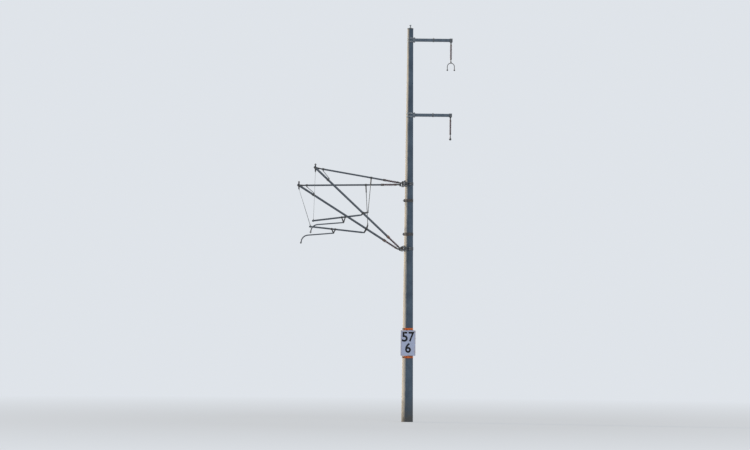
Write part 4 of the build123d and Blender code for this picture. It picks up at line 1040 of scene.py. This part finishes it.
for level, height in arm_heights.items():
    dress(arm_zinc, level + "_feeder_arm")
    dress(collar_zinc, level + "_feeder_collar")
    dress(beam_zinc, level + "_feeder_end", level + "_feeder_mid_clamp")
    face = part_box(level + "_feeder_arm")[0][0]
    add_piece(level + "_arm_weld", weld_bead(face, height, arm_half), arm_zinc, "mast")
    placed = [((way * collar_ear_half, side * (pole_radius(band) + collar_bolt_out), band), (way, 0, 0))
              for band in (height - collar_half, height + collar_half) for way, side in corners(1, 1)]
    add_screws(level + "_collar_bolts", placed, collar_bolt)
    placed = [((face - back, y, height + z), (way, 0, 0)) for way, back in ((1, 0), (-1, plate_thickness))
              for y, z in corners(plate_hole, plate_hole)]
    add_screws(level + "_plate_bolts", placed, plate_bolt)
    low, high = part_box(level + "_feeder_mid_clamp")
    middle = (low[0] + high[0]) / 2
    placed = [((middle, side * mid_screw_half[0], high[2]), (0, 0, 1)) for side in (-1, 1)]
    placed += [((middle, side * high[1], height + z), (0, side, 0))
               for side, z in corners(1, mid_screw_half[1])]
    add_screws(level + "_mid_clamp_screws", placed, mid_screw)
    low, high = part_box(level + "_feeder_end")
    placed = [((low[0] + spot, side * high[1], height + z), (0, side, 0))
              for spot in end_screw_places for side, z in corners(1, end_screw_half)]
    add_screws(level + "_end_screws", placed, end_screw)
    add_fasteners(level + "_swing_washers", pin_washers(joints[level + "_insulator_swing"], *swing_washer))

# The hanging insulators and what they hold: slender silicone insulators with cast caps, under the
# lower one a boat-shaped clamp whose keeper is drawn down by two U-bolts, and under the upper one an
# arched yoke with a screwed clamp on each leg.
hanging_sheds = (0.080, 0.480)
boat_clamp_lift = 0.025
boat_nut = (0.014, 0.006)
clamp_bolt_half = 0.036
u_bolt_radius = 0.005
u_bolt_half = 0.022
u_bolt_depth = 0.004
u_bolt_rise = 0.024
yoke_clamp_lift = 0.020
yoke_clamp_screw = (0.017, 0.008, 0.006)
for level in ("upper", "lower"):
    pivot = joints[level + "_insulator_swing"]
    finish = insulator_finish(level + "_hanging_finish", pivot, (0.0, 0.0, -1.0), *hanging_sheds)
    dress(finish, level + "_feeder_insulator")
dress(cast_iron, "lower_wire_clamp", "upper_wire_yoke", "upper_wire_clamps")


def u_bolt(middle):
    """A U-bolt over the clamp's groove: a leg up, half a circle over the groove, and a leg down."""
    turn = np.linspace(np.pi, 0, 15)
    shoulder = u_bolt_rise - u_bolt_half
    arch = np.stack([u_bolt_half * np.cos(turn), 0 * turn, shoulder + u_bolt_half * np.sin(turn)], axis=1)
    legs = np.linspace(-u_bolt_depth, shoulder, 5)[:-1]
    left = np.stack([0 * legs - u_bolt_half, 0 * legs, legs], axis=1)
    right = left[::-1] * (-1, 1, 1)
    return bent_wire(middle + np.concatenate([left, arch, right]), u_bolt_radius, 10)


top = mounts["lower_feeder_wire"] + (0, 0, boat_clamp_lift)
bolts = [u_bolt(top + (0, y, 0)) for y in (-clamp_bolt_half, clamp_bolt_half)]
add_fasteners("lower_clamp_u_bolts", bolts, "lower_insulator")
placed = [(top + (x, y, 0), (0, 0, 1)) for x, y in corners(u_bolt_half, clamp_bolt_half)]
add_screws("lower_clamp_nuts", placed, boat_nut, "lower_insulator")
for side in ("inner", "outer"):
    middle = mounts["upper_feeder_wire_" + side]
    placed = [(middle + (0, y, yoke_clamp_lift), (0, 0, 1)) for y in (-clamp_bolt_half, clamp_bolt_half)]
    add_screws("upper_" + side + "_clamp_screws", placed, yoke_clamp_screw, "upper_insulator")

# The two bands lower on the pole: dark strap steel bent round it, rusty in places, drawn tight by two
# pairs of hexagon screws each, with a forged eye between them on the cantilevers' side.
pole_band_heights = (7.205, 6.110)
pole_band_turns = np.radians([150, 210])
pole_band_out = 0.0053
pole_band_screw_half = 0.028
pole_band_screw = (0.017, 0.008, 0.004)
dress(casting("band_iron", 0.50), "pole_wire_bands")
placed = [on_pole(turn, height, pole_band_out, rise)
          for rise in (-pole_band_screw_half, pole_band_screw_half)
          for height in pole_band_heights for turn in pole_band_turns]
add_screws("wire_band_screws", placed, pole_band_screw)
